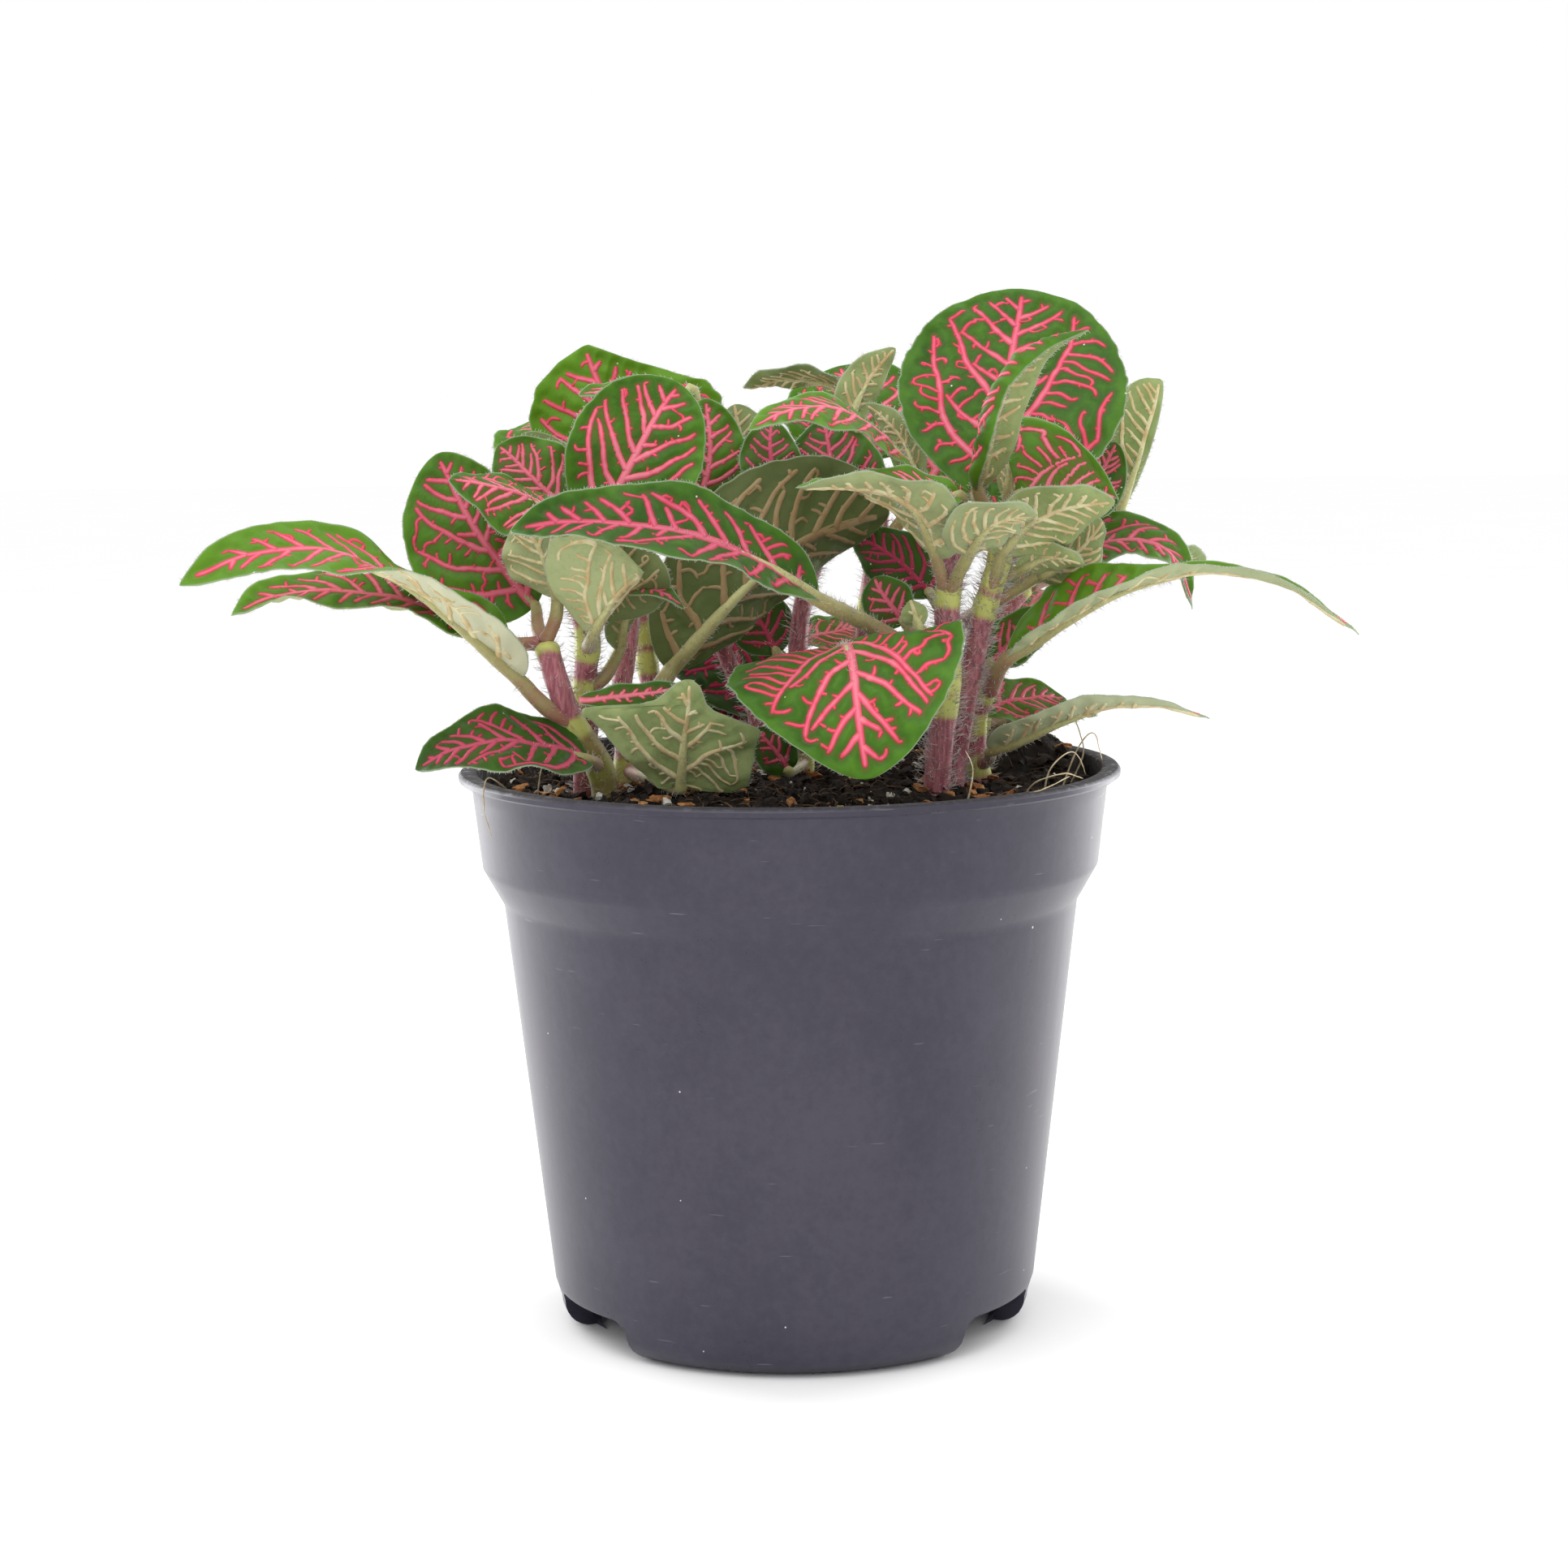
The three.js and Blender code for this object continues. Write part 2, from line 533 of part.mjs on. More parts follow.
// The blade's mid surface at u along the midrib and v across it, and its normal there.
function bladeAt(leaf, u, v) {
  const { midrib, half, outline = OVATE, fold = [0, 0], curl = [0, 0], twist = 0, wave = 0.5 } = leaf;
  const middle = tangentAt(midrib, 0.5);
  const across = middle.clone().cross(vector(leaf.face).normalize()).normalize();
  const tangent = tangentAt(midrib, u);
  const side = across.addScaledVector(tangent, -tangent.dot(across)).normalize();
  side.applyAxisAngle(tangent, radians(-twist) * (u - 0.5));
  const up = side.clone().cross(tangent);
  const hand = v < 0 ? 0 : 1;
  const sign = v < 0 ? -1 : 1;
  const reach = Math.abs(v);
  const width = half[hand] * outlineAt(outline, u);
  const start = radians(fold[hand]);
  const bend = radians(curl[hand]) || 1e-6;
  const end = start + bend * reach;
  const fade = Math.min(1, width / (0.3 * (half[0] + half[1])));
  const ripple = wave * reach ** 2 * Math.sin(TAU * 2.5 * u + 1.7 * (1 - hand));
  const out = ((Math.sin(end) - Math.sin(start)) * width * sign) / bend;
  const rise = ((Math.cos(start) - Math.cos(end)) * width) / bend + ripple * fade;
  const point = along(midrib, u).addScaledVector(side, out).addScaledVector(up, rise);
  const normal = up.clone().multiplyScalar(Math.cos(end)).addScaledVector(side, -sign * Math.sin(end));
  return { point, normal };
}

// A blade of even thickness, triangulated alike on both faces.
function blade(leaf) {
  const long = Math.max(...leaf.half) > BROAD || leaf.midrib.length > 3;
  const lengthways = long ? 6 : 4;
  const crossways = leaf.curl ? 6 : 2;
  const rings = [];
  for (let i = 0; i <= lengthways; i++) {
    const upper = [];
    const lower = [];
    for (let j = 0; j <= crossways; j++) {
      const { point, normal } = bladeAt(leaf, i / lengthways, (2 * j) / crossways - 1);
      upper.push(point.clone().addScaledVector(normal, BLADE / 2));
      lower.push(point.clone().addScaledVector(normal, -BLADE / 2));
    }
    rings.push([...upper, ...lower.reverse()]);
  }
  return solidOf(ringsGeometry(rings));
}

// A leaf's stalk, from inside the stem to a little way along the midrib.
function stalk(leaf) {
  const radius = leaf.stalkRadius ?? STALK_RADIUS;
  const points = [...(leaf.stalk ?? []).map(vector), along(leaf.midrib, 0), along(leaf.midrib, STALK_SINK)];
  return bar(points, radius, STALK_SIDES, points.length);
}

function stem(shoot) {
  const [x, y, z] = shoot.stem[0];
  const points = [new THREE.Vector3(x, y, z - ROOT_DEPTH), ...shoot.stem.map(vector)];
  return bar(points, shoot.radius, STEM_SIDES, points.length + 1);
}

function shootSolid(shoot) {
  return shoot.leaves.reduce((solid, leaf) => {
    const joined = solid.add(blade(leaf));
    return leaf.stalk ? joined.add(stalk(leaf)) : joined;
  }, stem(shoot));
}

// The pot's wall from the floor up: the outside, and the inside one wall thickness in from it.
function potSolid() {
  const bend = [];
  const steps = 3;
  for (let i = 0; i <= steps; i++) {
    const angle = (Math.PI / 2) * (i / steps);
    bend.push(new THREE.Vector2(
      FOOT_RADIUS - FOOT_BEND + FOOT_BEND * Math.sin(angle),
      FOOT_BEND - FOOT_BEND * Math.cos(angle),
    ));
  }
  const shoulder = new THREE.QuadraticBezierCurve(
    new THREE.Vector2(BODY_TOP_RADIUS, BODY_TOP),
    new THREE.Vector2(BODY_TOP_RADIUS + 0.6, COLLAR_FOOT - 1.2),
    new THREE.Vector2(COLLAR_FOOT_RADIUS, COLLAR_FOOT),
  ).getPoints(3);
  const inward = (point) => new THREE.Vector2(point.x - WALL, point.y + WALL / 2);
  const profile = [
    new THREE.Vector2(0, FLOOR_BOTTOM),
    new THREE.Vector2(FOOT_RADIUS - 2, FLOOR_BOTTOM),
    new THREE.Vector2(FOOT_RADIUS - 2.4, FOOT_BEND - 1),
    new THREE.Vector2(FOOT_RADIUS - FOOT_BEND - 1.4, 0),
    ...bend,
    new THREE.Vector2(BODY_FOOT_RADIUS, FLOOR_TOP),
    ...shoulder,
    new THREE.Vector2(COLLAR_RADIUS, RIM_TOP - LIP_THICKNESS),
    new THREE.Vector2(RIM_RADIUS, RIM_TOP - LIP_THICKNESS),
    new THREE.Vector2(RIM_RADIUS, RIM_TOP - 0.3),
    new THREE.Vector2(RIM_RADIUS - 0.4, RIM_TOP),
    new THREE.Vector2(COLLAR_RADIUS - WALL + 0.4, RIM_TOP),
    new THREE.Vector2(COLLAR_RADIUS - WALL, RIM_TOP - 0.4),
    ...shoulder.map(inward).reverse(),
    new THREE.Vector2(BODY_FOOT_RADIUS - WALL, FLOOR_TOP),
    new THREE.Vector2(0, FLOOR_TOP),
  ];
  const lathe = new THREE.LatheGeometry(profile, POT_SIDES);
  lathe.rotateX(Math.PI / 2);
  return NOTCH_ANGLES.reduce(
    (solid, angle) => solid.subtract(notch(angle)).subtract(drainHole(angle)),
    solidOf(lathe),
  );
}

// The space of one notch: a slot with rounded upper corners, pointing outward from the pot's axis.
function notch(angle) {
  const half = NOTCH_WIDTH / 2;
  const bottom = -1;
  const slot = new THREE.Shape();
  slot.moveTo(-half, bottom);
  slot.lineTo(half, bottom);
  slot.lineTo(half, FLOOR_BOTTOM - NOTCH_CORNER);
  slot.quadraticCurveTo(half, FLOOR_BOTTOM, half - NOTCH_CORNER, FLOOR_BOTTOM);
  slot.lineTo(NOTCH_CORNER - half, FLOOR_BOTTOM);
  slot.quadraticCurveTo(-half, FLOOR_BOTTOM, -half, FLOOR_BOTTOM - NOTCH_CORNER);
  const options = { depth: NOTCH_DEPTH, bevelEnabled: false, curveSegments: 4 };
  const geometry = new THREE.ExtrudeGeometry(slot, options);
  geometry.rotateX(Math.PI / 2);
  geometry.translate(0, NOTCH_DEPTH / 2 - FOOT_RADIUS, 0);
  geometry.rotateZ(radians(angle));
  return solidOf(geometry);
}

function drainHole(angle) {
  const geometry = new THREE.CylinderGeometry(DRAIN_RADIUS, DRAIN_RADIUS, 4, DRAIN_SIDES);
  geometry.rotateX(Math.PI / 2);
  geometry.translate(0, -DRAIN_CENTRE, (FLOOR_BOTTOM + FLOOR_TOP) / 2);
  geometry.rotateZ(radians(angle));
  return solidOf(geometry);
}

// The soil's height over its mean: a low crown with clods on it.
function soilRelief(x, y, reach) {
  const clods = Math.sin(0.9 * x + 1.3 * Math.sin(0.5 * y)) * Math.cos(0.8 * y - 0.6 * Math.cos(0.7 * x));
  const crumbs = Math.sin(2.3 * x - 1.1 * y) * Math.sin(1.9 * y + 0.8);
  return SOIL_CROWN * (1 - reach ** 2) + SOIL_RELIEF * (0.7 * clods + 0.3 * crumbs) * (1 - reach ** 8);
}

function soilSolid() {
  const circle = (radius, height) => {
    const ring = [];
    for (let side = 0; side < SOIL_SIDES; side++) {
      const angle = (TAU * side) / SOIL_SIDES;
      const x = radius * Math.cos(angle);
      const y = radius * Math.sin(angle);
      ring.push(new THREE.Vector3(x, y, height(x, y)));
    }
    return ring;
  };
  const play = WALL + 2 * GAP;
  const surfaceRadius = COLLAR_RADIUS - play - 0.2;
  const rings = [
    circle(BODY_FOOT_RADIUS - play, () => FLOOR_TOP + GAP),
    circle(BODY_TOP_RADIUS - play, () => BODY_TOP),
    circle(COLLAR_FOOT_RADIUS - play - 0.3, () => COLLAR_FOOT + 1.5),
  ];
  for (let ring = SOIL_RINGS; ring > 0; ring--) {
    const reach = ring / SOIL_RINGS;
    const height = (x, y) => SOIL_TOP + soilRelief(x, y, reach);
    rings.push(circle(surfaceRadius * reach, height));
  }
  const solid = solidOf(ringsGeometry(rings));
  return Object.values(SHOOTS).reduce((soil, shoot) => soil.subtract(stemHole(shoot)), solid);
}

// The plain hole that a stem stands in.
function stemHole(shoot) {
  const [x, y, z] = shoot.stem[0];
  const radius = shoot.radius + HOLE_PLAY;
  const geometry = new THREE.CylinderGeometry(radius, radius, 2 * ROOT_DEPTH + 2, HOLE_SIDES);
  geometry.rotateX(Math.PI / 2);
  geometry.translate(x, y, z);
  return solidOf(geometry);
}

const potPlastic = new THREE.MeshStandardMaterial({ color: 0x57535f, roughness: 0.38, metalness: 0 });
const peat = new THREE.MeshStandardMaterial({ color: 0x1c1613, roughness: 0.95, metalness: 0 });
const foliage = new THREE.MeshStandardMaterial({ color: 0x3f7a1f, roughness: 0.5, metalness: 0 });

const plant = new THREE.Group();
plant.add(meshOf("pot", potSolid(), potPlastic));
plant.add(meshOf("soil", soilSolid(), peat));
for (const [name, shoot] of Object.entries(SHOOTS)) {
  plant.add(meshOf(name, shootSolid(shoot), foliage));
}

export default plant;
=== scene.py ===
"""A potted nerve plant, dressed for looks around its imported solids.

The pot, the peat and each leafy shoot are classes that hold their own sizes and build their own
meshes. Sizes in the classes are millimetres, in the same frame as the solids, and every mesh is
in metres. The leaves, stems and stalks repeat the named points of the solids, so each finer
piece lies where its solid does.
"""

import logging
import math
from dataclasses import dataclass
from enum import Enum
from typing import ClassVar, Sequence

import bmesh
import bpy
import numpy as np
from mathutils import Euler, Matrix, Vector, noise
from mathutils.kdtree import KDTree


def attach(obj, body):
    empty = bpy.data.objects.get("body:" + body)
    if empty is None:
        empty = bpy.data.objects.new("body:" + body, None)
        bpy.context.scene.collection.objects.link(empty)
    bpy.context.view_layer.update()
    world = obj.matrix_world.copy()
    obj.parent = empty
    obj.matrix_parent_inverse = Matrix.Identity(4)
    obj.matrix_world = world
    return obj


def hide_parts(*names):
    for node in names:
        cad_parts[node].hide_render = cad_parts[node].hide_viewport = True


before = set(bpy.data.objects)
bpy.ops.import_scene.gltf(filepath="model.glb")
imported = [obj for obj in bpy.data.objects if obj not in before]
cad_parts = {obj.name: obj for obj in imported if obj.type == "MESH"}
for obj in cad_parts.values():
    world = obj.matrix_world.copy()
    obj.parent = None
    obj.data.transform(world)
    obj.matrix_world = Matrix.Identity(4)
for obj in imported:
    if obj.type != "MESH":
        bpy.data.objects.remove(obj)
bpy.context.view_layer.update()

LOG = logging.getLogger("nerve_plant")
MM = 0.001
TAU = 2 * math.pi
SEED = 41
MERGE = 2e-7  # metres: points nearer than this are one
SMOOTH = 180.0  # degrees: a crease angle that keeps every edge smooth
FAR = 1e3  # millimetres: further away than anything here

Array = np.ndarray
Point = tuple[float, float, float]
Pair = tuple[float, float]
Colour = tuple[float, float, float, float]

BLACK_PEAT: Colour = (0.005, 0.004, 0.004, 1)
WHITE: Colour = (1.0, 1.0, 1.0, 1)


# ---------------------------------------------------------------- shader expressions


class Wire:
    """A shader value with arithmetic: each operator adds one Math node."""

    def __init__(self, graph: "Graph", socket: bpy.types.NodeSocket) -> None:
        """Wraps a socket.

        Args:
            graph: the material's graph, which makes the nodes.
            socket: the output that carries the value.
        """
        self.graph = graph
        self.socket = socket

    def __add__(self, other: "Wire | float") -> "Wire":
        """The sum of two values."""
        return self.graph.math("ADD", self, other)

    def __sub__(self, other: "Wire | float") -> "Wire":
        """The first value less the second."""
        return self.graph.math("SUBTRACT", self, other)

    def __rsub__(self, other: float) -> "Wire":
        """A number less this value."""
        return self.graph.math("SUBTRACT", other, self)

    def __mul__(self, other: "Wire | float") -> "Wire":
        """The product of two values."""
        return self.graph.math("MULTIPLY", self, other)

    __radd__ = __add__
    __rmul__ = __mul__

    def step(self, low: float, high: float) -> "Wire":
        """A smooth step between two limits.

        Args:
            low: where it is 0.
            high: where it is 1; this may be the smaller of the two.

        Returns:
            The step.
        """
        node = self.graph.node(
            "ShaderNodeMapRange",
            {"interpolation_type": "SMOOTHSTEP"},
            {"Value": self, "From Min": min(low, high), "From Max": max(low, high)},
        )
        rising = Wire(self.graph, node.outputs["Result"])
        return rising if low < high else 1 - rising


class Graph:
    """The node tree of one material."""

    def __init__(self, name: str) -> None:
        """Makes an empty material.

        Args:
            name: the material's name.
        """
        self.material = bpy.data.materials.new(name)
        self.material.use_nodes = True
        self.tree = self.material.node_tree
        self.tree.nodes.clear()

    def node(self, kind: str, settings: dict | None = None, inputs: dict | None = None) -> bpy.types.Node:
        """Adds one node.

        Args:
            kind: the node's type.
            settings: the node's own settings; "stops" fills a colour ramp.
            inputs: a Wire, number or colour for each socket, by name or index.

        Returns:
            The new node.
        """
        node = self.tree.nodes.new(kind)
        for key, value in (settings or {}).items():
            if key == "stops":
                elements = node.color_ramp.elements
                while len(elements) < len(value):
                    elements.new(0.5)
                for element, (place, colour) in zip(elements, value):
                    element.position = place
                    element.color = colour
            else:
                setattr(node, key, value)
        for key, value in (inputs or {}).items():
            if isinstance(value, Wire):
                self.tree.links.new(value.socket, node.inputs[key])
            else:
                node.inputs[key].default_value = value
        return node

    def math(self, operation: str, first: "Wire | float", second: "Wire | float") -> Wire:
        """A Math node on two values."""
        node = self.node("ShaderNodeMath", {"operation": operation}, {0: first, 1: second})
        return Wire(self, node.outputs[0])

    def mix(self, factor: "Wire | float", first: "Wire | Colour", second: "Wire | Colour") -> Wire:
        """A colour between two colours.

        Args:
            factor: how much of the second there is; below 0 counts as 0, above 1 as 1.
            first: the colour at 0.
            second: the colour at 1.

        Returns:
            The mixed colour.
        """
        node = self.node(
            "ShaderNodeMix",
            {"data_type": "RGBA", "clamp_factor": True},
            {0: factor, 6: first, 7: second},
        )
        return Wire(self, node.outputs[2])

    def place(self) -> Wire:
        """The point on the piece, in metres."""
        return Wire(self, self.node("ShaderNodeTexCoord").outputs["Object"])

    def stretched(self, scale: Point) -> Wire:
        """The point on the piece, scaled apart along the three axes."""
        node = self.node("ShaderNodeMapping", None, {"Vector": self.place(), "Scale": scale})
        return Wire(self, node.outputs[0])

    def attribute(self, name: str) -> Wire:
        """A number stored at the mesh's corners or points."""
        return Wire(self, self.node("ShaderNodeAttribute", {"attribute_name": name}).outputs["Fac"])

    def noise(self, size: float, detail: float = 3.0, rough: float = 0.55, where: Wire | None = None) -> Wire:
        """Cloudy noise.

        Args:
            size: the size of its features, in millimetres.
            detail: how many finer layers it has.
            rough: how strong the finer layers are.
            where: the point that it is read at, or None for the point on the piece.

        Returns:
            A value round 0.5.
        """
        node = self.node(
            "ShaderNodeTexNoise",
            None,
            {
                "Vector": where or self.place(),
                "Scale": 1 / (size * MM),
                "Detail": detail,
                "Roughness": rough,
            },
        )
        return Wire(self, node.outputs[0])

    def specks(self, spacing: float, radius: float, share: float) -> Wire:
        """Small round specks.

        Args:
            spacing: the mean distance between places where one may be, in millimetres.
            radius: a speck's radius as a part of the spacing.
            share: the share of those places that has one.

        Returns:
            1 on a speck and 0 elsewhere.
        """
        node = self.node("ShaderNodeTexVoronoi", None, {"Vector": self.place(), "Scale": 1 / (spacing * MM)})
        split = self.node("ShaderNodeSeparateColor", None, {0: Wire(self, node.outputs["Color"])})
        chosen = Wire(self, split.outputs[0]).step(1 - share, 1.001 - share)
        return Wire(self, node.outputs["Distance"]).step(radius, radius * 0.7) * chosen

    def ramp(self, factor: Wire, *stops: tuple[float, Colour]) -> Wire:
        """A colour ramp through the stops."""
        node = self.node("ShaderNodeValToRGB", {"stops": stops}, {0: factor})
        return Wire(self, node.outputs[0])

    def bump(self, height: Wire, depth: float, strength: float = 1.0) -> Wire:
        """A normal for relief of the given depth in millimetres."""
        inputs = {"Height": height, "Distance": depth * MM, "Strength": strength}
        return Wire(self, self.node("ShaderNodeBump", None, inputs).outputs[0])

    def finish(self, inputs: dict, glow: tuple[float, Colour] | None = None) -> bpy.types.Material:
        """Adds the surface shader and closes the graph.

        Args:
            inputs: the Principled shader's sockets.
            glow: the share and the colour of light that passes through from behind.

        Returns:
            The finished material.
        """
        surface = self.node("ShaderNodeBsdfPrincipled", None, inputs).outputs[0]
        if glow:
            share, colour = glow
            through = self.node("ShaderNodeBsdfTranslucent", None, {"Color": colour}).outputs[0]
            blend = self.node("ShaderNodeMixShader", None, {0: share})
            self.tree.links.new(surface, blend.inputs[1])
            self.tree.links.new(through, blend.inputs[2])
            surface = blend.outputs[0]
        output = self.node("ShaderNodeOutputMaterial")
        self.tree.links.new(surface, output.inputs["Surface"])
        return self.material


# ---------------------------------------------------------------- finishes


@dataclass(frozen=True)
class BladeSkin:
    """Leaf tissue: green above with a grey sheen, pale and matt below."""

    deep: Colour = (0.034, 0.112, 0.008, 1)
    green: Colour = (0.088, 0.232, 0.012, 1)
    # A bright fresh green for leaves of fresher tone, also used as painted light on leaves whose painted
    # light and shadow value is below 0.
    fresh_and_painted_light: Colour = (0.160, 0.350, 0.018, 1)
    halo: Colour = (0.200, 0.095, 0.030, 1)
    rim: Colour = (0.480, 0.540, 0.400, 1)
    under_pale: Colour = (0.450, 0.520, 0.225, 1)
    under_dull: Colour = (0.190, 0.275, 0.085, 1)
    # Painted shadow colours for the tissue above and below on leaves that sit in shadow, then the milky pale
    # underside that goes with painted light.
    painted_shadow_green: Colour = (0.014, 0.034, 0.009, 1)
    painted_shadow_under: Colour = (0.066, 0.086, 0.022, 1)
    under_milk: Colour = (0.780, 0.770, 0.560, 1)
    dust: Colour = (0.80, 0.79, 0.72, 1)
    through: Colour = (0.21, 0.46, 0.045, 1)

    def material(self) -> bpy.types.Material:
        """Builds the finish.

        Returns:
            The material.
        """
        g = Graph("leaf_blade")
        top = g.attribute("side").step(0.4, 0.6)
        near = g.attribute("near")
        cloud = g.noise(7.0, 3, 0.6)
        cells = g.noise(0.45, 2, 0.7)
        tint = cloud * 0.8 + g.attribute("tone") * 0.75 + cells * 0.20 + near.step(0.1, 1.3) * 0.20 - 0.50
        green = g.ramp(tint, (0.1, self.deep), (0.5, self.green), (0.9, self.fresh_and_painted_light))
        green = g.mix(near.step(0.42, 0.0) * 0.55, green, self.halo)
        under = g.ramp(tint + near.step(1.6, 0.2) * 0.22, (0.22, self.under_dull), (0.78, self.under_pale))
        under = g.mix(g.noise(1.1, 4, 0.65).step(0.5, 0.66) * 0.25, under, self.under_dull)
        # Painted light and shadow: above 0, each leaf's value darkens its tissue towards the painted shadow
        # colours; below 0, it paints light as a fresher green above and makes the underside milky pale.
        shade = g.attribute("shade")
        green = g.mix(shade * 0.8, green, self.painted_shadow_green)
        green = g.mix((shade * -1.0).step(0.0, 0.35) * 0.6, green, self.fresh_and_painted_light)
        under = g.mix(shade * 0.8, under, self.painted_shadow_under)
        under = g.mix(shade * -1.0, under, self.under_milk)
        colour = g.mix(top, under, green)
        colour = g.mix(g.attribute("edge").step(0.26, 0.04) * 0.6, colour, self.rim)
        colour = g.mix(g.specks(2.3, 0.075, 0.3) * top, colour, self.dust)
        relief = cells * 0.6 + g.noise(0.16, 2, 0.6) * 0.4 + near.step(0.0, 1.1) * 4.0
        return g.finish(
            {
                "Base Color": colour,
                "Roughness": top * -0.16 + 0.60 + cloud * 0.08,
                "Normal": g.bump(relief, 0.055, 0.5),
                "Specular IOR Level": 0.22,
                "Sheen Weight": 0.10,
                "Sheen Roughness": 0.4,
                "Sheen Tint": (0.84, 0.92, 1.0, 1),
            },
            glow=(0.2, self.through),
        )


@dataclass(frozen=True)
class VeinSkin:
    """Veins: hot pink with coral edges above, tan ribs below."""

    heart: Colour = (0.90, 0.105, 0.190, 1)
    edge: Colour = (0.80, 0.050, 0.085, 1)
    blush: Colour = (0.94, 0.250, 0.325, 1)
    rib: Colour = (0.660, 0.510, 0.250, 1)
    rib_pale: Colour = (0.840, 0.790, 0.480, 1)
    # Painted shadow colours for the veins above and the ribs below on leaves that sit in shadow.
    painted_shadow_vein: Colour = (0.420, 0.022, 0.085, 1)
    painted_shadow_rib: Colour = (0.300, 0.190, 0.085, 1)
    through: Colour = (0.66, 0.17, 0.13, 1)

    def material(self) -> bpy.types.Material:
        """Builds the finish.

        Returns:
            The material.
        """
        g = Graph("leaf_vein")
        top = g.attribute("side").step(0.35, 0.65)
        cloud = g.noise(2.2, 3, 0.6)
        heart = g.attribute("heart") + cloud * 0.5 - 0.25
        pink = g.ramp(heart, (0.1, self.edge), (0.55, self.heart), (1.0, self.blush))
        rib = g.mix(cloud.step(0.35, 0.65), self.rib, self.rib_pale)
        # Painted shadow: on leaves whose painted light and shadow value is above 0, veins and ribs darken
        # towards the painted shadow colours.
        shade = g.attribute("shade")
        pink = g.mix(shade, pink, self.painted_shadow_vein)
        rib = g.mix(shade * 0.8, rib, self.painted_shadow_rib)
        grain = g.noise(0.3, 2, 0.7)
        return g.finish(
            {
                "Base Color": g.mix(top, rib, pink),
                "Roughness": top * -0.12 + 0.56,
                "Normal": g.bump(grain, 0.05, 0.5),
                "Specular IOR Level": 0.22,
                "Sheen Weight": 0.03,
                "Sheen Tint": (0.92, 0.94, 1.0, 1),
            },
            glow=(0.18, self.through),
        )


@dataclass(frozen=True)
class StemSkin:
    """Stems: purple red and streaked, with yellow-green bands at the nodes."""

    red: Colour = (0.260, 0.058, 0.085, 1)
    rose: Colour = (0.480, 0.180, 0.200, 1)
    band: Colour = (0.500, 0.530, 0.130, 1)
    foot: Colour = (0.235, 0.235, 0.040, 1)

    def material(self) -> bpy.types.Material:
        """Builds the finish.

        Returns:
            The material.
        """
        g = Graph("stem_skin")
        streak = g.noise(0.5, 3, 0.65, g.stretched((1, 1, 0.12)))
        colour = g.mix(streak.step(0.36, 0.66), self.red, self.rose)
        patch = g.noise(2.5, 2, 0.6) * 0.5 - 0.25
        colour = g.mix((g.attribute("band") + patch).step(0.3, 0.75), colour, self.band)
        colour = g.mix((g.attribute("foot") + patch).step(0.4, 1.0) * 0.8, colour, self.foot)
        return g.finish(
            {
                "Base Color": colour,
                "Roughness": 0.5,
                "Normal": g.bump(streak, 0.12, 0.7),
                "Specular IOR Level": 0.45,
                "Sheen Weight": 0.3,
                "Sheen Roughness": 0.5,
            }
        )


@dataclass(frozen=True)
class StalkSkin:
    """Leaf stalks: olive to pale green, flushed red where they leave the stem."""

    olive: Colour = (0.330, 0.310, 0.110, 1)
    pale: Colour = (0.500, 0.510, 0.220, 1)
    flush: Colour = (0.330, 0.115, 0.095, 1)

    def material(self) -> bpy.types.Material:
        """Builds the finish.

        Returns:
            The material.
        """
        g = Graph("stalk_skin")
        cloud = g.noise(3.0, 3, 0.6)
        along = g.attribute("along") + cloud * 0.6 - 0.3
        colour = g.ramp(along, (0.0, self.flush), (0.35, self.olive), (0.85, self.pale))
        streak = g.noise(0.4, 3, 0.7)
        colour = g.mix(streak.step(0.45, 0.75) * 0.4, colour, self.flush)
        return g.finish(
            {
                "Base Color": colour,
                "Roughness": 0.5,
                "Normal": g.bump(streak, 0.08, 0.6),
                "Sheen Weight": 0.25,
            }
        )


@dataclass(frozen=True)
class HairSkin:
    """Plant hairs: clear white threads."""

    white: Colour = (0.88, 0.88, 0.84, 1)
    lilac: Colour = (0.70, 0.60, 0.66, 1)

    def material(self) -> bpy.types.Material:
        """Builds the finish.

        Returns:
            The material.
        """
        g = Graph("plant_hair")
        colour = g.mix(g.noise(3.0, 2).step(0.4, 0.65), self.white, self.lilac)
        return g.finish({"Base Color": colour, "Roughness": 0.4}, glow=(0.35, self.white))


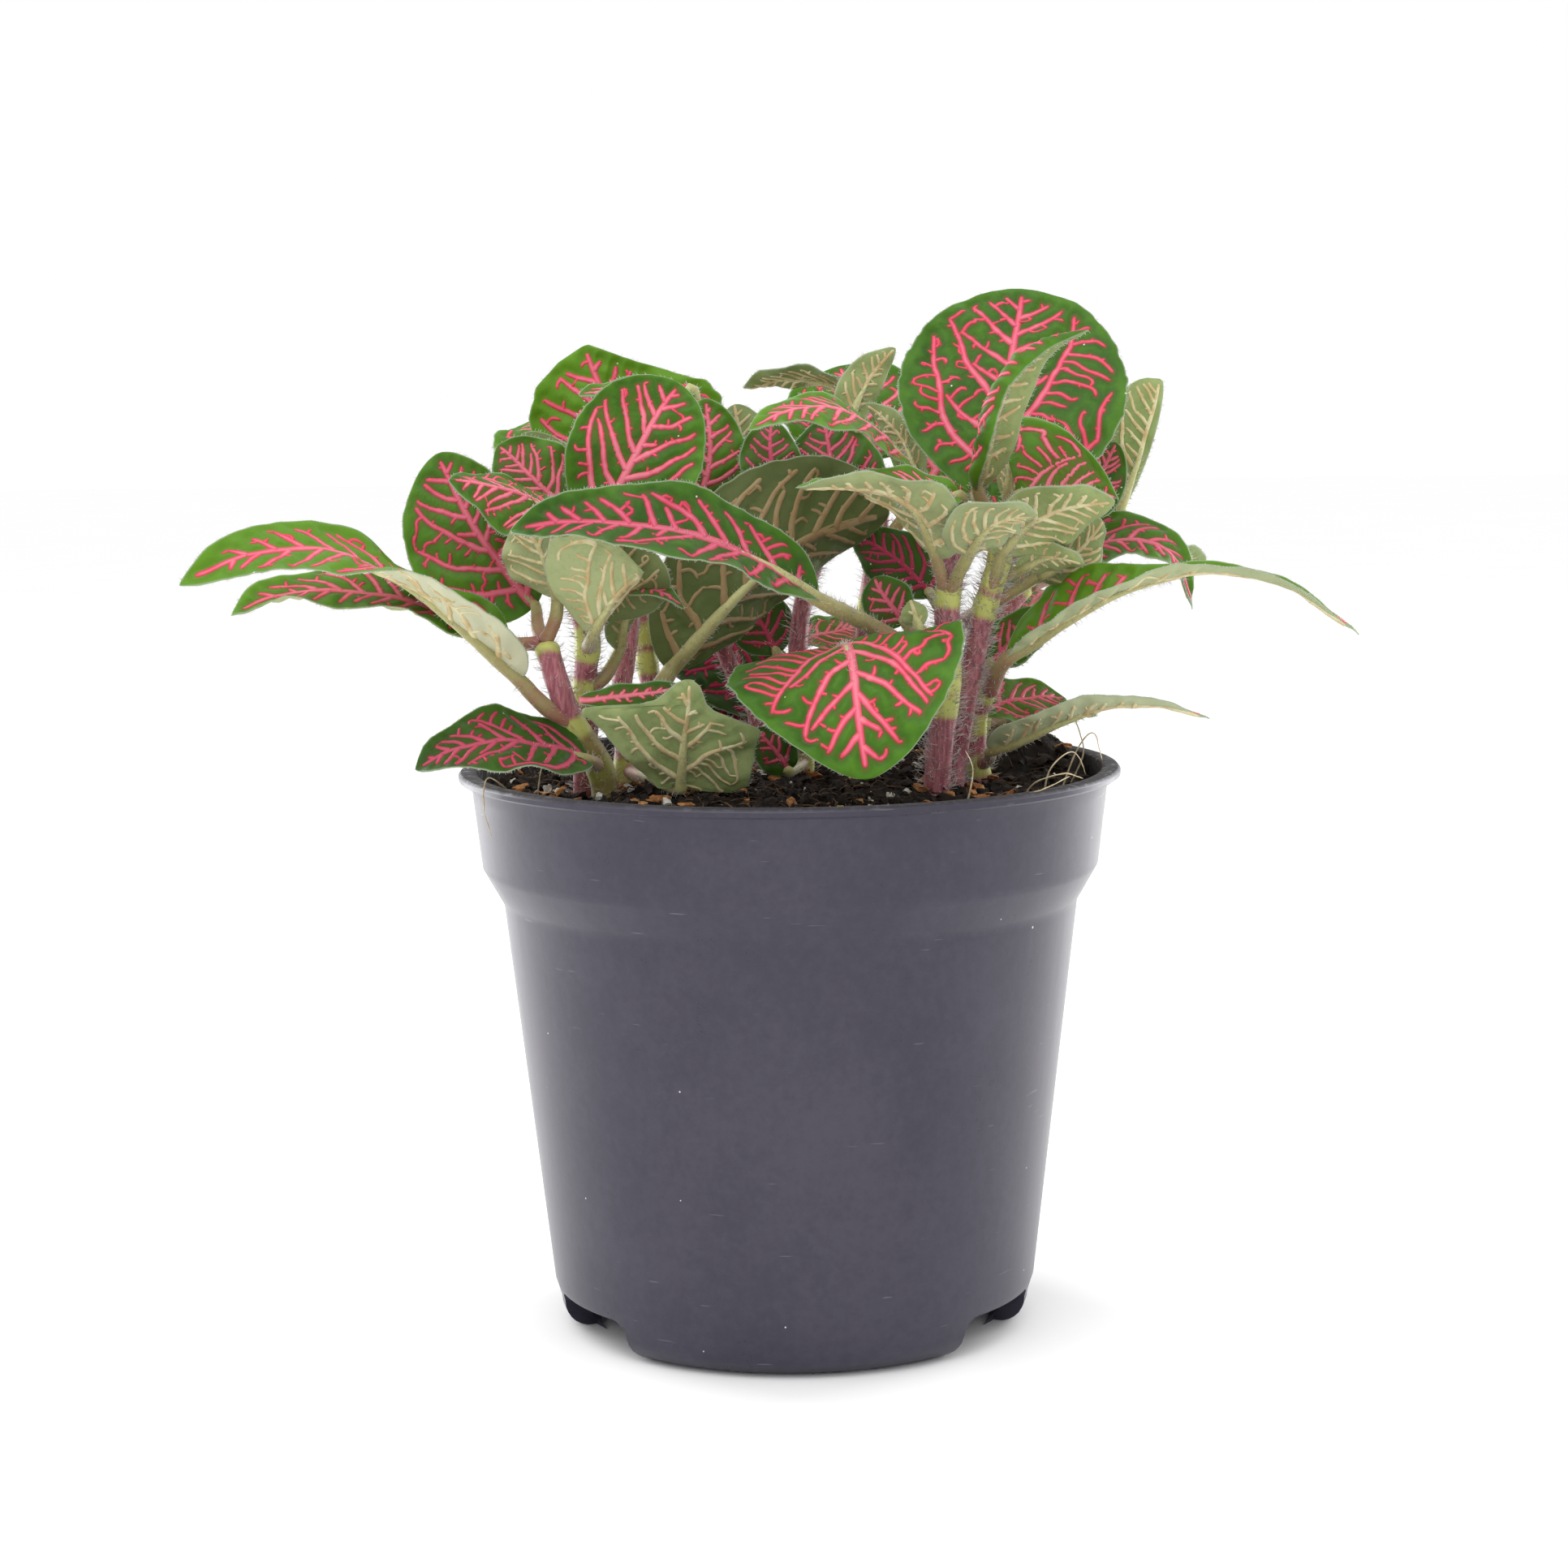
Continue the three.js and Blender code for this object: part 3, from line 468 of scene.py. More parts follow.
@dataclass(frozen=True)
class PotPlastic:
    """Moulded pot: charcoal violet satin plastic with faint flow marks, scuffs and dust."""

    body: Colour = (0.030, 0.027, 0.043, 1)
    cloudy: Colour = (0.046, 0.042, 0.061, 1)
    scuff: Colour = (0.190, 0.185, 0.200, 1)
    dust: Colour = (0.62, 0.60, 0.58, 1)
    grime: Colour = (0.016, 0.014, 0.013, 1)

    def material(self) -> bpy.types.Material:
        """Builds the finish.

        Returns:
            The material.
        """
        g = Graph("pot_plastic")
        cloud = g.noise(22, 4, 0.6)
        mottle = g.noise(1.4, 4, 0.7)
        flow = g.noise(5.0, 3, 0.6, g.stretched((1, 1, 0.08)))
        colour = g.mix((cloud * 0.6 + mottle * 0.4).step(0.36, 0.66), self.body, self.cloudy)
        scratch = g.noise(0.9, 2, 0.5, g.stretched((0.12, 0.12, 1.6))).step(0.715, 0.76)
        colour = g.mix(scratch * 0.35, colour, self.scuff)
        dust = g.specks(4.5, 0.030, 0.35) + g.specks(11.0, 0.018, 0.5)
        colour = g.mix(dust, colour, self.dust)
        grime = g.attribute("grime") * g.noise(1.6, 5, 0.7).step(0.25, 0.55)
        colour = g.mix(grime, colour, self.grime)
        rough = cloud * 0.10 + mottle * 0.06 + flow * 0.08 + 0.18 + grime * 0.6 + dust * 0.3
        relief = mottle * 0.35 + flow * 0.9 + g.noise(0.25, 2, 0.6) * 0.1
        return g.finish(
            {
                "Base Color": colour,
                "Roughness": rough,
                "Normal": g.bump(relief, 0.06, 0.5),
                "Specular IOR Level": 0.45,
                "Specular Tint": (0.92, 0.90, 1.0, 1),
            }
        )


@dataclass(frozen=True)
class Crumb:
    """A crumbly finish for what lies on the peat and for the peat itself."""

    name: str
    dark: Colour
    light: Colour
    grain: float = 0.5
    rough: float = 0.9
    relief: float = 0.15

    def material(self) -> bpy.types.Material:
        """Builds the finish.

        Returns:
            The material.
        """
        g = Graph(self.name)
        patch = g.noise(self.grain * 5, 4, 0.65) * 0.6 + g.noise(self.grain, 3, 0.7) * 0.4
        colour = g.mix(patch.step(0.36, 0.66), self.dark, self.light)
        return g.finish(
            {
                "Base Color": colour,
                "Roughness": self.rough,
                "Normal": g.bump(g.noise(self.grain * 0.7, 4, 0.7), self.relief),
                "Specular IOR Level": 0.3,
            }
        )


# ---------------------------------------------------------------- mesh helpers


def unit(vectors: Array) -> Array:
    """The vectors at length 1."""
    return vectors / np.maximum(np.linalg.norm(vectors, axis=-1, keepdims=True), 1e-9)


def noise_at(points: Array, size: float, octaves: int = 3) -> Array:
    """Fractal noise at points, in millimetres, with features of the given size."""
    return np.array([noise.fractal(Vector(point / size), 0.9, 2.1, octaves) for point in points])


def smooth_path(points: Sequence[Point], pitch: float) -> Array:
    """A smooth curve through points.

    Args:
        points: the points that it passes through.
        pitch: the distance between the points of the result.

    Returns:
        Evenly spaced points along the curve.
    """
    knots = np.array(points, float)
    padded = np.vstack([2 * knots[0] - knots[1], knots, 2 * knots[-1] - knots[-2]])
    share = np.linspace(0, 1, 24, endpoint=False)[:, None]
    parts = []
    for a, b, c, d in zip(padded, padded[1:], padded[2:], padded[3:]):
        cubic = (-a + 3 * b - 3 * c + d) * share**3 + (2 * a - 5 * b + 4 * c - d) * share**2
        parts.append(0.5 * (cubic + (c - a) * share + 2 * b))
    fine = np.vstack([*parts, knots[-1:]])
    arc = np.concatenate([[0], np.cumsum(np.linalg.norm(np.diff(fine, axis=0), axis=1))])
    count = max(4, round(arc[-1] / pitch) + 1)
    even = np.linspace(0, arc[-1], count)
    return np.column_stack([np.interp(even, arc, fine[:, axis]) for axis in range(3)])


def frames(path: Array) -> tuple[Array, Array, Array]:
    """Directions along a path that don't twist.

    Args:
        path: points along it.

    Returns:
        For each point, the direction ahead and two directions square to it.
    """
    ahead = unit(np.gradient(path, axis=0))
    first = np.cross(ahead[0], (0.3, 0.9, 0.2))
    sides = []
    for direction in ahead:
        first = first - direction * (first @ direction)
        first = first / max(np.linalg.norm(first), 1e-9)
        sides.append(first)
    side = np.array(sides)
    return ahead, side, np.cross(ahead, side)


def tube(path: Array, radius: Array, sides: int) -> Array:
    """Rings of points round a path, drawn together at both ends.

    Args:
        path: points along the middle.
        radius: the radius at each of them, or one for each point of each ring.
        sides: how many points a ring has.

    Returns:
        An array of rings, points and coordinates.
    """
    _, side, other = frames(path)
    angle = np.linspace(0, TAU, sides, endpoint=False)
    out = side[:, None] * np.cos(angle)[None, :, None] + other[:, None] * np.sin(angle)[None, :, None]
    radius = np.broadcast_to(radius if np.ndim(radius) == 2 else radius[:, None], out.shape[:2])
    rings = path[:, None] + out * radius[..., None]
    rings[0], rings[-1] = path[0], path[-1]
    return rings


def skin(strips: Sequence[Array], values: dict[str, Sequence[Array]] | None = None) -> bmesh.types.BMesh:
    """Closed skins over rows of rings, wrapped from one grid.

    Args:
        strips: for each skin an array of rings, points and coordinates in millimetres. Its first
            and its last ring are drawn together to a point or a seam.
        values: for each attribute the numbers on each skin's rings and points.

    Returns:
        A mesh in metres, with its doubles merged and its faces turned outwards.
    """
    sides = strips[0].shape[1]
    rows = np.concatenate([np.concatenate([strip, strip[:, :1]], axis=1) for strip in strips])
    bm = bmesh.new()
    bmesh.ops.create_grid(bm, x_segments=sides, y_segments=len(rows) - 1, size=1)
    for vert, place in zip(bm.verts, (rows.reshape(-1, 3) * MM).tolist()):
        vert.co = place
    for name, tables in (values or {}).items():
        layer = bm.verts.layers.float.new(name)
        table = np.concatenate([np.concatenate([part, part[:, :1]], axis=1) for part in tables])
        for vert, number in zip(bm.verts, table.ravel().tolist()):
            vert[layer] = number
    if len(strips) > 1:
        joints = set((np.cumsum([len(strip) for strip in strips])[:-1] - 1).tolist())
        links = [face for index, face in enumerate(bm.faces) if index // sides in joints]
        bmesh.ops.delete(bm, geom=links, context="FACES")
    bmesh.ops.remove_doubles(bm, verts=bm.verts, dist=MERGE)
    bmesh.ops.recalc_face_normals(bm, faces=bm.faces)
    return bm


def gather(parts: Sequence[bmesh.types.BMesh]) -> bmesh.types.BMesh:
    """Puts several meshes into one.

    Args:
        parts: the meshes, which are used up.

    Returns:
        One mesh with all their faces.
    """
    whole = bmesh.new()
    for part in parts:
        mesh = bpy.data.meshes.new("part")
        part.to_mesh(mesh)
        part.free()
        whole.from_mesh(mesh)
        bpy.data.meshes.remove(mesh)
    return whole


def over_both(table: Array) -> Array:
    """Numbers on the upper side of a leaf, carried round to its lower side."""
    return np.concatenate([table, table[:, ::-1]], axis=1)


def round_places(path: Array, sides: int, reach: float) -> Array:
    """Places in level rings round a path, where its noise is read.

    Args:
        path: points along it.
        sides: how many places each ring has.
        reach: the radius of the rings.

    Returns:
        The places, one ring after another.
    """
    angle = np.linspace(0, TAU, sides, endpoint=False)
    ring = np.stack([np.cos(angle), np.sin(angle), 0 * angle], axis=1) * reach
    return (path[:, None] + ring).reshape(-1, 3)


def bevel_edges(bm: bmesh.types.BMesh, edges: Sequence[bmesh.types.BMEdge], size: float, steps: int) -> None:
    """Rounds or breaks edges of a mesh.

    Args:
        bm: the mesh.
        edges: which edges.
        size: how far the bevel reaches.
        steps: how many faces it has across.
    """
    bmesh.ops.bevel(bm, geom=edges, offset=size, segments=steps, profile=0.5, affect="EDGES", material=-1)


def as_object(name: str, bm: bmesh.types.BMesh) -> bpy.types.Object:
    """Puts a mesh into the scene.

    Args:
        name: the name of the mesh and of its object.
        bm: the mesh, which is used up.

    Returns:
        The new object.
    """
    mesh = bpy.data.meshes.new(name)
    bm.to_mesh(mesh)
    bm.free()
    thing = bpy.data.objects.new(name, mesh)
    bpy.context.scene.collection.objects.link(thing)
    return thing


def make_piece(
    name: str,
    bm: bmesh.types.BMesh,
    material: bpy.types.Material,
    node: str,
    crease: float = SMOOTH,
) -> None:
    """Turns a mesh into a finished piece that rides on the root.

    Args:
        name: the piece's name.
        bm: its mesh, which is used up.
        material: its finish.
        node: the solid that it stands for.
        crease: edges sharper than this, in degrees, stay crisp.
    """
    for face in bm.faces:
        face.smooth = True
    if crease < SMOOTH:
        for edge in bm.edges:
            edge.smooth = edge.calc_face_angle(0) < math.radians(crease)
    piece = as_object(name, bm)
    piece.data.materials.append(material)
    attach(piece, "root")
    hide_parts(node)
    LOG.info("%s: %d faces", name, len(piece.data.polygons))


# ---------------------------------------------------------------- leaves


class Outline(Enum):
    """A leaf's outline: how fast it widens from its base and narrows to its tip."""

    OVATE = (0.58, 0.72)
    ROUND = (0.6, 0.6)
    BLUNT = (0.5, 0.55)
    TAPERED = (0.5, 0.8)
    LANCE = (0.5, 1.0)
    LONG_TIP = (0.45, 1.4)
    SHOULDERED = (0.33, 0.65)
    FAN = (0.75, 0.42)
    HALF_MOON = (0.15, 1.1)

    def width(self, u: Array) -> Array:
        """The width along the leaf.

        Args:
            u: places along it, from 0 at the base to 1 at the tip.

        Returns:
            The width at each, as a part of the greatest width.
        """
        base, tip = self.value
        peak = base / (base + tip)
        end = 0.0006
        return (u + end) ** base * (1 - u + end) ** tip / (peak**base * (1 - peak) ** tip)


@dataclass(frozen=True)
class Leaf:
    """Where one leaf lies and how it is shaped, in millimetres and degrees.

    Attributes:
        midrib: points along its middle, from its base to its tip.
        half: the greatest width of its left and of its right half.
        face: the direction that its upper side faces, at the middle.
        outline: the outline of both halves, unless lobes are given.
        fold: how steeply each half leaves the midrib.
        curl: how far each half turns from there to the margin.
        twist: how far it turns about the midrib, from base to tip.
        wave: the height of the waves along its margin.
        stalk: points along its stalk, from the stem to its base.
        stalk_radius: the stalk's radius.
        shade: light and shadow painted into its colour, from -1, painted light that makes the top a fresher
            green and turns the underside milky pale, to 1, painted shadow that darkens the tissue and the
            veins.
        lobes: the outline of each half, as places along it and widths there.
    """

    midrib: tuple[Point, ...]
    half: Pair
    face: Point
    outline: Outline = Outline.OVATE
    fold: Pair = (0, 0)
    curl: Pair = (0, 0)
    twist: float = 0
    wave: float = 0.5
    stalk: tuple[Point, ...] = ()
    stalk_radius: float = 0.95
    shade: float = 0
    lobes: tuple[tuple[Pair, ...], tuple[Pair, ...]] | None = None

    def spread(self, u: Array, hand: Array) -> Array:
        """The width of one half of the leaf.

        Args:
            u: places along the leaf.
            hand: 0 for the left half and 1 for the right one, at each place.

        Returns:
            The width at each, as a part of that half's greatest width.
        """
        if self.lobes is None:
            return self.outline.width(u)
        left, right = (np.interp(u, *zip(*line)) for line in self.lobes)
        return np.where(hand == 0, left, right)


class BladeShape:
    """The curved middle surface of a leaf.

    A point on it is given by u, from 0 at the base to 1 at the tip, and v, from -1 at the left
    margin to 1 at the right one. Laid flat, it is given by the distance along the midrib and the
    distance out from it.
    """

    def __init__(self, leaf: Leaf, rng: np.random.Generator) -> None:
        """Sets out the midrib.

        Args:
            leaf: the leaf's place.
            rng: where its small waves come from.
        """
        self.leaf = leaf
        self.knots = np.array(leaf.midrib, float)
        self.half = np.array(leaf.half, float)
        middle = self.ahead(np.array([0.5]))[0]
        self.across = unit(np.cross(middle, unit(np.array(leaf.face, float))))
        self.share = np.linspace(0, 1, 241)
        steps = np.linalg.norm(np.diff(self.along(self.share), axis=0), axis=1)
        self.arc = np.concatenate([[0], np.cumsum(steps)])
        self.length = float(self.arc[-1])
        self.scale = float(np.clip(math.sqrt(self.length * self.half.sum()) / 26, 0.42, 1.1))
        self.phase = rng.uniform(0, TAU, 8)

    def along(self, u: Array) -> Array:
        """Points on the midrib, which is one polynomial curve through its named points.

        Args:
            u: places along it.

        Returns:
            A point for each.
        """
        count = len(self.knots)
        even = np.linspace(0, 1, count)
        result = np.zeros((len(u), 3))
        for index in range(count):
            others = [(u - even[k]) / (even[index] - even[k]) for k in range(count) if k != index]
            result += np.prod(others, axis=0)[:, None] * self.knots[index]
        return result

    def ahead(self, u: Array) -> Array:
        """Directions along the midrib, towards the tip."""
        return unit(self.along(u + 1e-3) - self.along(u - 1e-3))

    def axes(self, u: Array) -> tuple[Array, Array]:
        """The directions to the right and up from the midrib.

        Args:
            u: places along the midrib.

        Returns:
            Two arrays of unit vectors.
        """
        ahead = self.ahead(u)
        side = unit(self.across - ahead * (ahead @ self.across)[:, None])
        turn = (np.radians(-self.leaf.twist) * (u - 0.5))[:, None]
        side = side * np.cos(turn) + np.cross(ahead, side) * np.sin(turn)
        return side, np.cross(side, ahead)

    def at(self, u: Array, v: Array) -> tuple[Array, Array]:
        """Points on the surface and its normals there.

        Args:
            u: places along the leaf.
            v: places across it.

        Returns:
            The points and the unit normals.
        """
        hand = (v >= 0).astype(int)
        sign = np.where(v < 0, -1.0, 1.0)
        reach = np.abs(v)
        width = self.half[hand] * self.leaf.spread(np.clip(u, 0, 1), hand)
        start = np.radians(np.array(self.leaf.fold, float))[hand]
        bend = np.radians(np.array(self.leaf.curl, float))[hand]
        bend = np.where(np.abs(bend) < 1e-6, 1e-6, bend)
        end = start + bend * reach
        fade = np.minimum(1, width / (0.3 * self.half.sum()))
        ripple = self.leaf.wave * reach**2 * np.sin(TAU * 2.5 * u + 1.7 * (1 - hand)) * fade
        out = (np.sin(end) - np.sin(start)) * width * sign / bend
        rise = (np.cos(start) - np.cos(end)) * width / bend + ripple
        side, up = self.axes(u)
        point = self.along(u) + side * out[:, None] + up * rise[:, None]
        normal = up * np.cos(end)[:, None] - side * (sign * np.sin(end))[:, None]
        return point, normal

    def width(self, u: Array, v: Array) -> Array:
        """The distance from the midrib to the margin, on the side that v is on."""
        hand = (v >= 0).astype(int)
        return self.half[hand] * self.leaf.spread(u, hand)

    def place(self, flat: Array) -> tuple[Array, Array]:
        """Where points of the leaf laid flat lie on its surface.

        Args:
            flat: the points.

        Returns:
            The u and the v of each.
        """
        u = np.interp(flat[:, 0], self.arc, self.share)
        v = flat[:, 1] / np.maximum(self.width(u, flat[:, 1]), 1e-3)
        return u, np.clip(v, -1, 1)

    def flat(self, u: Array, v: Array) -> Array:
        """The points u and v on the leaf laid flat."""
        return np.column_stack([np.interp(u, self.share, self.arc), v * self.width(u, v)])

    def swell(self, flat: Array) -> Array:
        """Low, uneven waves in the tissue.

        Args:
            flat: points on the leaf laid flat.

        Returns:
            The height of the waves at each, in millimetres.
        """
        s, t = (flat / self.scale).T
        p = self.phase
        broad = np.sin(0.55 * s + 0.6 * np.sin(0.5 * t + p[0]) + p[1]) * np.sin(0.62 * t + p[2])
        small = np.sin(1.7 * s + 1.1 * np.sin(1.1 * t + p[3]) + p[4]) * np.sin(1.9 * t + 0.4 * s + p[5])
        return self.scale * (0.22 * broad + 0.06 * small)


@dataclass
class Vein:
    """One vein on the leaf laid flat: its points, its widths and its order, 0 for the midrib."""

    points: Array
    widths: Array
    order: int


class VeinNet:
    """The veins of a leaf, grown from the midrib outwards on the leaf laid flat.

    Its lengths and widths are those of a large leaf; a small one has them scaled down.
    """

    STEP: float = 0.3
    FINE_STEP: float = 0.42
    ROUNDS: int = 90
    DRIFT: float = 0.93
    WANDER: float = 0.075
    BEND: float = 0.011
    SHORTEST: float = 1.6
    JOINING: float = 0.55

    def __init__(self, shape: BladeShape, rng: np.random.Generator) -> None:
        """Grows the net.

        Args:
            shape: the leaf's surface.
            rng: where the small differences come from.
        """
        self.shape = shape
        self.rng = rng
        self.scale = shape.scale
        self.band = 1.15 * shape.scale + 0.35
        self.room = 0.42 * shape.scale + 0.27
        self.girth = 1.1 * shape.scale**0.6
        u = np.linspace(0, 1, 160)
        edges = [shape.flat(u, np.full(160, side)) for side in (-1.0, 1.0)]
        self.edge = np.vstack(edges)
        self.veins: list[Vein] = []
        self.grow()

    def clearance(self, points: Array) -> Array:
        """The distance from each point to the margin."""
        return np.sqrt(((points[:, None] - self.edge[None]) ** 2).sum(axis=2)).min(axis=1)

    def side_vein(self, origin: Array, hand: int, angle: float, width: Pair) -> None:
        """Grows a vein from the midrib out to the margin band.

        Args:
            origin: where it leaves the midrib.
            hand: 1 for the right half of the leaf, or -1 for the left.
            angle: the angle that it leaves at; it bends back towards the tip.
            width: its width at the start and at the end.
        """
        step = self.STEP * self.scale
        points = [origin]
        wander = 0.0
        others = np.vstack([vein.points for vein in self.veins[1:]] or [np.full((1, 2), FAR)])
        for index in range(400):
            wander = self.DRIFT * wander + self.rng.normal() * self.WANDER
            heading = angle * (1 - self.BEND * index) + wander
            point = points[-1] + step * np.array([math.cos(heading), hand * math.sin(heading)])
            gap = math.sqrt(((others - point) ** 2).sum(axis=1).min())
            if self.clearance(point[None])[0] < self.band or gap < self.room:
                break
            points.append(point)
        if len(points) * step > self.SHORTEST * self.scale:
            line = np.array(points)
            widths = np.linspace(*width, len(line)) * (1 + 0.08 * self.rng.normal(size=len(line)))
            self.veins.append(Vein(line, widths, 1))

    def targets(self) -> Array:
        """Points spread over the tissue, which the finer veins grow towards.

        Returns:
            The points that lie inside the margin band.
        """
        pitch = 0.75 * self.scale + 0.35
        low, high = self.edge.min(axis=0), self.edge.max(axis=0)
        x, y = (np.arange(a, b, pitch) for a, b in zip(low, high))
        grid = np.stack(np.meshgrid(x, y), axis=-1).reshape(-1, 2)
        grid = grid + self.rng.uniform(-0.48, 0.48, grid.shape) * pitch
        u = np.interp(grid[:, 0], self.shape.arc, self.shape.share)
        grid = grid[np.abs(grid[:, 1]) < self.shape.width(u, grid[:, 1])]
        return grid[self.clearance(grid) > self.band * 0.86]

    def fill(self) -> None:
        """Grows finer veins towards the targets until each has a vein near it or no room is left."""
        step, reach = self.FINE_STEP * self.scale, self.room * 0.95
        nodes = np.vstack([vein.points[::2] for vein in self.veins])
        counts = [len(vein.points[::2]) for vein in self.veins]
        strand = np.repeat(np.arange(len(counts)), counts)
        trunk = len(nodes)
        parents = [max(0, index - 1) for index in range(trunk)]
        tips: set[int] = set()
        targets = self.targets()
        for _ in range(self.ROUNDS):
            gaps = np.linalg.norm(targets[:, None] - nodes[None], axis=2)
            owner = gaps.argmin(axis=1)
            wanted = gaps[np.arange(len(targets)), owner] > reach
            targets, owner = targets[wanted], owner[wanted]
            grown = 0
            for node in self.rng.permutation(np.unique(owner)).tolist():
                ways = unit(targets[owner == node] - nodes[node])
                back = unit(nodes[node] - nodes[parents[node]])
                tip = node in tips
                if not tip:
                    hands = np.sign(back[0] * ways[:, 1] - back[1] * ways[:, 0])
                    ways = ways[hands == (1 if hands.sum() >= 0 else -1)]
                    if not len(ways):
                        continue
                onward = (0.9 if tip else 0.5) * back
                way = unit(unit(ways.sum(axis=0)) + onward + self.rng.normal(size=2) * 0.2)
                place = nodes[node] + step * way
                own = strand == strand[node]
                if tip:
                    own |= strand == strand[parents[node]]
                    own[max(0, node - 1)] = True
                clear = np.where(own, FAR, np.linalg.norm(nodes - place, axis=1)).min()
                if clear < (self.room if tip else 1.6 * self.room):
                    continue
                nodes = np.vstack([nodes, place])
                strand = np.append(strand, strand[node] if tip else strand.max() + 1)
                parents.append(node)
                tips.discard(node)
                tips.add(len(nodes) - 1)
                grown += 1
            if not grown or not len(targets):
                break
        self.chain(nodes, parents, strand, trunk)

    def chain(self, nodes: Array, parents: list[int], strand: Array, trunk: int) -> None:
        """Joins grown nodes into veins, thicker where they carry more.

        Args:
            nodes: the places of all nodes.
            parents: the node that each grew from.
            strand: the vein that each belongs to.
            trunk: how many of the first nodes lie on the main veins.
        """
        load = np.ones(len(nodes))
        for node in range(len(nodes) - 1, trunk - 1, -1):
            load[parents[node]] += load[node]
        for rank in range(len(self.veins), int(strand.max()) + 1):
            run = np.flatnonzero(strand == rank).tolist()
            root = parents[run[0]]
            run = [root, *run]
            line = nodes[run]
            widths = self.girth * np.minimum(0.35 + 0.058 * np.sqrt(load[run]), 0.68)
            widths[0] = widths[1]
            gaps = np.where(strand == rank, FAR, np.linalg.norm(nodes - nodes[run[-1]], axis=1))
            gaps[max(0, root - 4) : root + 5] = FAR
            near = int(gaps.argmin())
            if gaps[near] < 1.9 * self.room and self.rng.random() < self.JOINING:
                line, widths = np.vstack([line, nodes[near]]), np.append(widths, widths[-1])
            if len(line) > 3:
                line[1:-1] = (line[:-2] + 2 * line[1:-1] + line[2:]) / 4
            widths = widths * (1 + 0.07 * self.rng.normal(size=len(line)))
            self.veins.append(Vein(line, widths, 2 if root < trunk else 3))

    def grow(self) -> None:
        """Grows the midrib, the side veins and the net between them."""
        k, length = self.scale, self.shape.length
        s = np.arange(0.4 * k, length * 0.955, self.STEP * k)
        wiggle = 0.16 * k * np.sin(s / (3.1 * k) + self.shape.phase[6]) * np.minimum(1, s / (4 * k))
        taper = 1 - s / length
        widths = self.girth * (0.55 + 0.80 * taper**0.8)
        self.veins.append(Vein(np.column_stack([s, wiggle]), widths, 0))
        midrib = self.veins[0].points
        place, hand = self.rng.uniform(1.2, 2.2) * k, int(self.rng.choice([-1, 1]))
        while place < length * 0.9:
            ratio = place / length
            index = int(np.clip(place / (self.STEP * k), 1, len(midrib) - 2))
            angle = math.radians(66 - 24 * ratio + self.rng.uniform(-4, 4))
            girth = self.girth * (1.04 - 0.3 * ratio)
            self.side_vein(midrib[index], hand, angle, (girth, 0.56 * self.girth))
            place += self.rng.uniform(1.7, 2.3) * k * (1 - 0.25 * ratio)
            hand = -hand
        self.fill()


